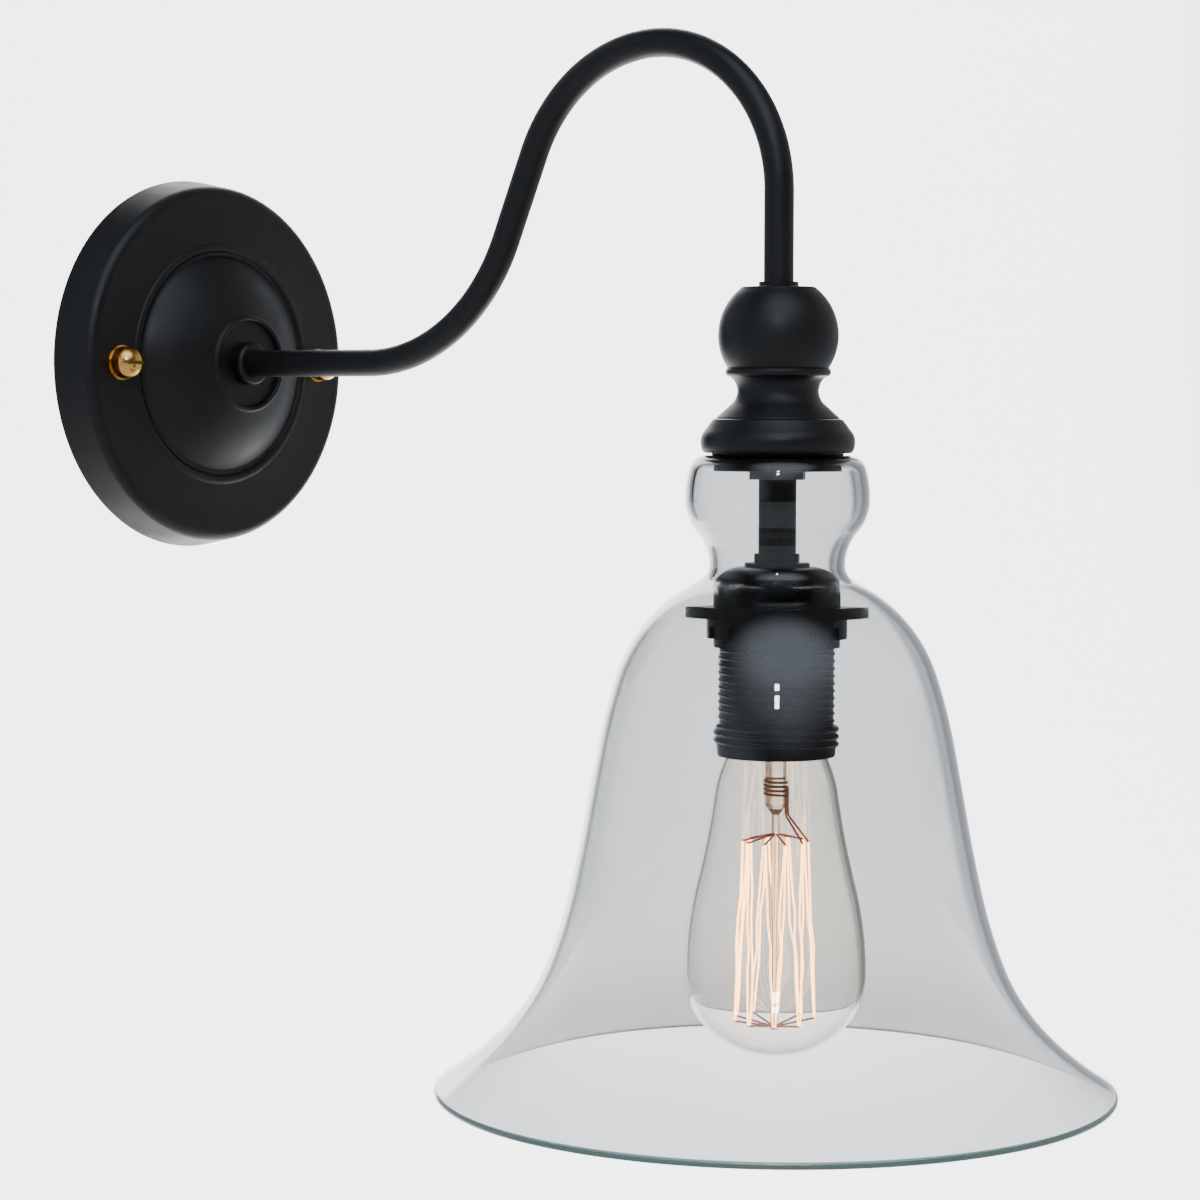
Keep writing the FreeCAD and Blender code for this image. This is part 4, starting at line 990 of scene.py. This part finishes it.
@dataclass
class CageLamp:
    """The clear lamp: envelope, rolled base, cage filament and the wrap on its stem."""

    wall: float = 0.8
    neck: float = 12.5
    tip_depth: float = 4.0
    nodes: tuple[Triple, ...] = (
        (15.0, -33.6, -66.0), (20.0, -49.0, -82.0), (29.3, -107.0, -90.0), (0.0, -134.0, -180.0))
    arc_steps: int = 14
    segments: int = 128
    base_radius: float = 12.6
    base_bore: float = 12.0
    base_steps: int = 60
    base_segments: int = 96
    pitch: float = 3.63
    roll_depth: float = 0.38
    roll_end: float = 1.5
    cage_loops: int = 9
    cage_span: float = 330.0
    cage_gap_angle: float = -75.0
    cage: tuple[tuple[str, float], ...] = (
        ("Top", -64.6), ("Top Radius", 10.8), ("Foot", -122.2), ("Foot Radius", 13.5),
        ("Wire", 0.33), ("Hook", 0.9), ("Bow", 4.0))
    wrap: Winding = Winding("stem_wrap", -49.5, 4.0, 1.375, 3.75, 0.45)

    def build(self, shop: Workshop) -> None:
        """Blows the envelope, rolls the base and strings the filament.

        Args:
            shop: What it is built with.
        """
        level = shop.foot("lamp_tip_contact") + self.tip_depth
        mouth = (self.neck, shop.top("lamp_glass") - level, -90.0)
        run = blown_curve([mouth, *self.nodes], self.arc_steps)
        outer = [(max(p.x, 0.0), p.y) for p, _ in run]
        inner = [(max(p.x + way.y * self.wall, 0.0), p.y - way.x * self.wall) for p, way in run]
        foot = outer[-1][1]
        profile = outer[:-1] + [(0.0, foot), (0.0, foot + self.wall)] + inner[-2::-1]
        envelope = lathe("lamp_envelope", profile, Axis.DROP, level, shop.reach, self.segments)
        shop.coat_rings(envelope, ("lamp_glass", "inner_glass"), (0, len(outer) - 1),
                        self.segments)
        shop.dress(envelope, "lamp_glass", Body.LAMP, "lamp_glass")
        self.build_base(shop)
        self.build_filament(shop, level)

    def build_base(self, shop: Workshop) -> None:
        """Rolls the screw base from thin brass.

        Args:
            shop: What it is built with.
        """
        foot = shop.foot("lamp_base")
        length = shop.top("lamp_base") - foot
        outer = [(self.base_radius, length * i / self.base_steps)
                 for i in range(self.base_steps + 1)]
        inner = [(self.base_bore, length), (self.base_bore, 0.0)]

        def rolled(radius: float, height: float, angle: float) -> float:
            """The rolled thread's radius, which fades out towards both ends."""
            ends = max(0.0, min(1.0, height / self.roll_end, (length - height) / self.roll_end))
            return radius + self.roll_depth * ends * math.sin(
                2 * math.pi * height / self.pitch - angle)

        base = lathe("rolled_base", outer + inner, Axis.DROP, foot, shop.reach,
                     self.base_segments, wave=rolled)
        shop.dress(base, "brass", Body.LAMP, "lamp_base")

    def build_filament(self, shop: Workshop, level: float) -> None:
        """Strings the glowing wire and winds the copper wrap on the stem.

        Args:
            shop: What it is built with.
            level: The level that the lamp's heights are measured from.
        """
        span = math.radians(self.cage_span)
        first = math.radians(self.cage_gap_angle) + math.pi - span / 2
        cage = shop.trees["cage"].grow(
            "cage_filament", shop.materials["glowing_wire"], shop.drop_place(level),
            Loops=self.cage_loops, Span=span, First=first,
            **{name: size * MM for name, size in self.cage})
        shop.dress(cage, "glowing_wire", Body.LAMP, "filament")
        self.wrap.wind(shop, "fine_wire", Body.LAMP, level)


# ---- stage, camera and the run

@dataclass(frozen=True)
class PhotoCamera:
    """The camera that saw the light: its place in millimetres and its angles in degrees."""

    place: Triple = (-852.5, -879.0, -13.2)
    azimuth: float = -51.2
    down: float = 3.46
    roll: float = 0.14
    focal_pixels: float = 3290.0
    frame_pixels: float = 1200.0
    sensor: float = 36.0
    clip_end: float = 50.0

    def build(self) -> None:
        """Adds the camera and makes it the scene's."""
        data = bpy.data.cameras.new("photo_camera")
        data.sensor_fit = "HORIZONTAL"
        data.sensor_width = self.sensor
        data.lens = self.focal_pixels / self.frame_pixels * self.sensor
        data.clip_end = self.clip_end
        camera = new_object("photo_camera", data)
        a, d, r = (math.radians(v) for v in (self.azimuth, self.down, self.roll))
        ahead = Vector((-math.sin(a) * math.cos(d), math.cos(a) * math.cos(d), -math.sin(d)))
        right = Vector((math.cos(a), math.sin(a), 0.0))
        up = right.cross(ahead)
        right, up = right * math.cos(r) + up * math.sin(r), up * math.cos(r) - right * math.sin(r)
        turn = Matrix((right, up, -ahead)).transposed().to_4x4()
        camera.matrix_world = Matrix.Translation(Vector(self.place) * MM) @ turn
        bpy.context.scene.camera = camera


@dataclass(frozen=True)
class SoftLobe:
    """A soft patch of light in the surround: where it lies, its colour and how it fades."""

    toward: Triple
    colour: Triple
    start: float
    full: float


@dataclass
class Studio:
    """A pale floor that sweeps up behind the light, a dim soft surround and a paned window."""

    azimuth: float = -51.2
    floor_level: float = -0.62
    sweep_start: float = 1.3
    sweep_radius: float = 1.0
    sweep_steps: int = 24
    half_width: float = 12.0
    floor_back: float = -12.0
    height: float = 2.6
    paper: Finish = Finish("pale_paper", (0.68, 0.68, 0.68), roughness=(0.75, 0.85))
    bright: float = 3.7
    dim: float = 0.11
    lit_start: float = -0.1
    lit_full: float = 0.8
    lit_half_width: float = 0.72
    lit_fade: float = 0.2
    pane_place: Triple = (-1.4, -1.29, 0.9)
    pane_rises: Point = (-0.085, 0.085)
    pane_aim: Triple = (0.0, -0.266, -0.1)
    pane_size: float = 0.10
    pane_power: float = 2.6
    lobes: tuple[SoftLobe, ...] = (
        SoftLobe((-0.40, -0.42, 0.81), (2.0, 2.25, 2.6), 0.76, 1.0),
        SoftLobe((-0.40, 0.86, 0.30), (0.5, 0.57, 0.66), 0.75, 1.0),
        SoftLobe((-0.88, 0.05, 0.18), (0.55, 0.62, 0.72), 0.82, 1.0),
        SoftLobe((0.78, -0.62, 0.10), (0.48, 0.45, 0.40), 0.60, 1.0))

    def build(self) -> None:
        """Builds the floor, the surround and the window's panes."""
        self.sweep()
        self.surround()
        for rise in self.pane_rises:
            self.window_pane(rise)

    def sweep(self) -> None:
        """Builds the pale floor and its curve up into a backdrop."""
        turn = math.radians(self.azimuth)
        ahead = Vector((-math.sin(turn), math.cos(turn), 0.0))
        across = Vector((math.cos(turn), math.sin(turn), 0.0))
        base = self.floor_level
        line = [(self.floor_back, base), (self.sweep_start, base)]
        for i in range(1, self.sweep_steps + 1):
            angle = math.pi / 2 * i / self.sweep_steps
            line.append((self.sweep_start + self.sweep_radius * math.sin(angle),
                         base + self.sweep_radius * (1 - math.cos(angle))))
        line.append((line[-1][0], self.height))
        points = [ahead * out + across * (side * self.half_width) + Vector((0, 0, up))
                  for out, up in line for side in (-1, 1)]
        faces = [(2 * i, 2 * i + 1, 2 * i + 3, 2 * i + 2) for i in range(len(line) - 1)]
        mesh = bpy.data.meshes.new("floor")
        mesh.from_pydata(points, [], faces)
        mesh.shade_smooth()
        mesh.materials.append(self.lit_paper(ahead, across))
        floor = new_object("floor", mesh)

    def lit_paper(self, ahead: Vector, across: Vector) -> bpy.types.Material:
        """The floor's pale paper, which glows as a painted pool of light from behind past the
        light, and dimly elsewhere.

        Args:
            ahead: The level direction from the camera past the light.
            across: The level direction to the camera's right.

        Returns:
            The material.
        """
        material = self.paper.make()
        tree = material.node_tree
        where = add_node(tree, "ShaderNodeTexCoord").outputs["Object"]
        # Painted light: the paper glows bright in a strip from behind the light onward, fading to
        # a dim glow at the sides and in front.
        lit = fade(tree, along(tree, where, ahead), self.lit_start, self.lit_full)
        aside = add_node(tree, "ShaderNodeMath", {"operation": "ABSOLUTE"},
                         i0=along(tree, where, across))
        middle = fade(tree, aside.outputs[0], self.lit_half_width,
                      self.lit_half_width + self.lit_fade, self.bright - self.dim, 0.0)
        total = add_node(tree, "ShaderNodeMath", {"operation": "MULTIPLY_ADD"},
                         i0=lit, i1=middle, i2=self.dim)
        shader = tree.nodes["Principled BSDF"]
        tree.links.new(total.outputs[0], shader.inputs["Emission Strength"])
        shader.inputs["Emission Color"].default_value = (1.0, 1.0, 1.0, 1.0)
        return material

    def surround(self) -> None:
        """Lights the world dimly, with soft patches that fade out without an edge."""
        world = bpy.data.worlds.new("studio_surround")
        world.use_nodes = True
        bpy.context.scene.world = world
        tree = world.node_tree
        where = add_node(tree, "ShaderNodeTexCoord").outputs["Generated"]
        total = (self.dim, self.dim, self.dim)
        for lobe in self.lobes:
            facing = along(tree, where, Vector(lobe.toward).normalized())
            patch = add_node(tree, "ShaderNodeVectorMath", {"operation": "MULTIPLY_ADD"},
                             i0=fade(tree, facing, lobe.start, lobe.full), i1=lobe.colour,
                             i2=total)
            total = patch.outputs[0]
        tree.links.new(total, tree.nodes["Background"].inputs["Color"])

    def window_pane(self, rise: float) -> None:
        """Adds one of the small square lights whose reflections show in the glass.

        Args:
            rise: Its height above the middle of the window, in metres.
        """
        x, y, z = self.pane_place
        place = Vector((x, y, z + rise))
        data = bpy.data.lights.new("window_light", "AREA")
        data.shape = "SQUARE"
        data.size = self.pane_size
        data.energy = self.pane_power
        light = new_object("window_light", data)
        light.location = place
        light.rotation_euler = (Vector(self.pane_aim) - place).to_track_quat("-Z", "Y").to_euler()


def dress_nodes(frame: dict, shop: Workshop) -> None:
    """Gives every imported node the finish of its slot.

    Args:
        frame: The loaded frame, with its record and nodes.
        shop: What it is built with.
    """
    slots = {part["node"]: part["material_slot"] for part in frame["record"]["subparts"]}
    for node, obj in frame["nodes"].items():
        finish = shop.materials[slots[node]]
        if not obj.material_slots:
            obj.data.materials.append(finish)
        for holder in obj.material_slots:
            holder.material = finish


def main() -> None:
    """Builds every sub-assembly, the stage and the camera."""
    logging.basicConfig(level=logging.INFO)
    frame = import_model()
    shop = Workshop()
    shop.prepare()
    dress_nodes(frame, shop)
    for assembly in (WallCanopy(), GooseneckArm(), TurnedCap(), GlassBell(), LampSocket(),
                     CageLamp()):
        assembly.build(shop)
    Studio().build()
    PhotoCamera().build()


if __name__ == "__main__":
    main()
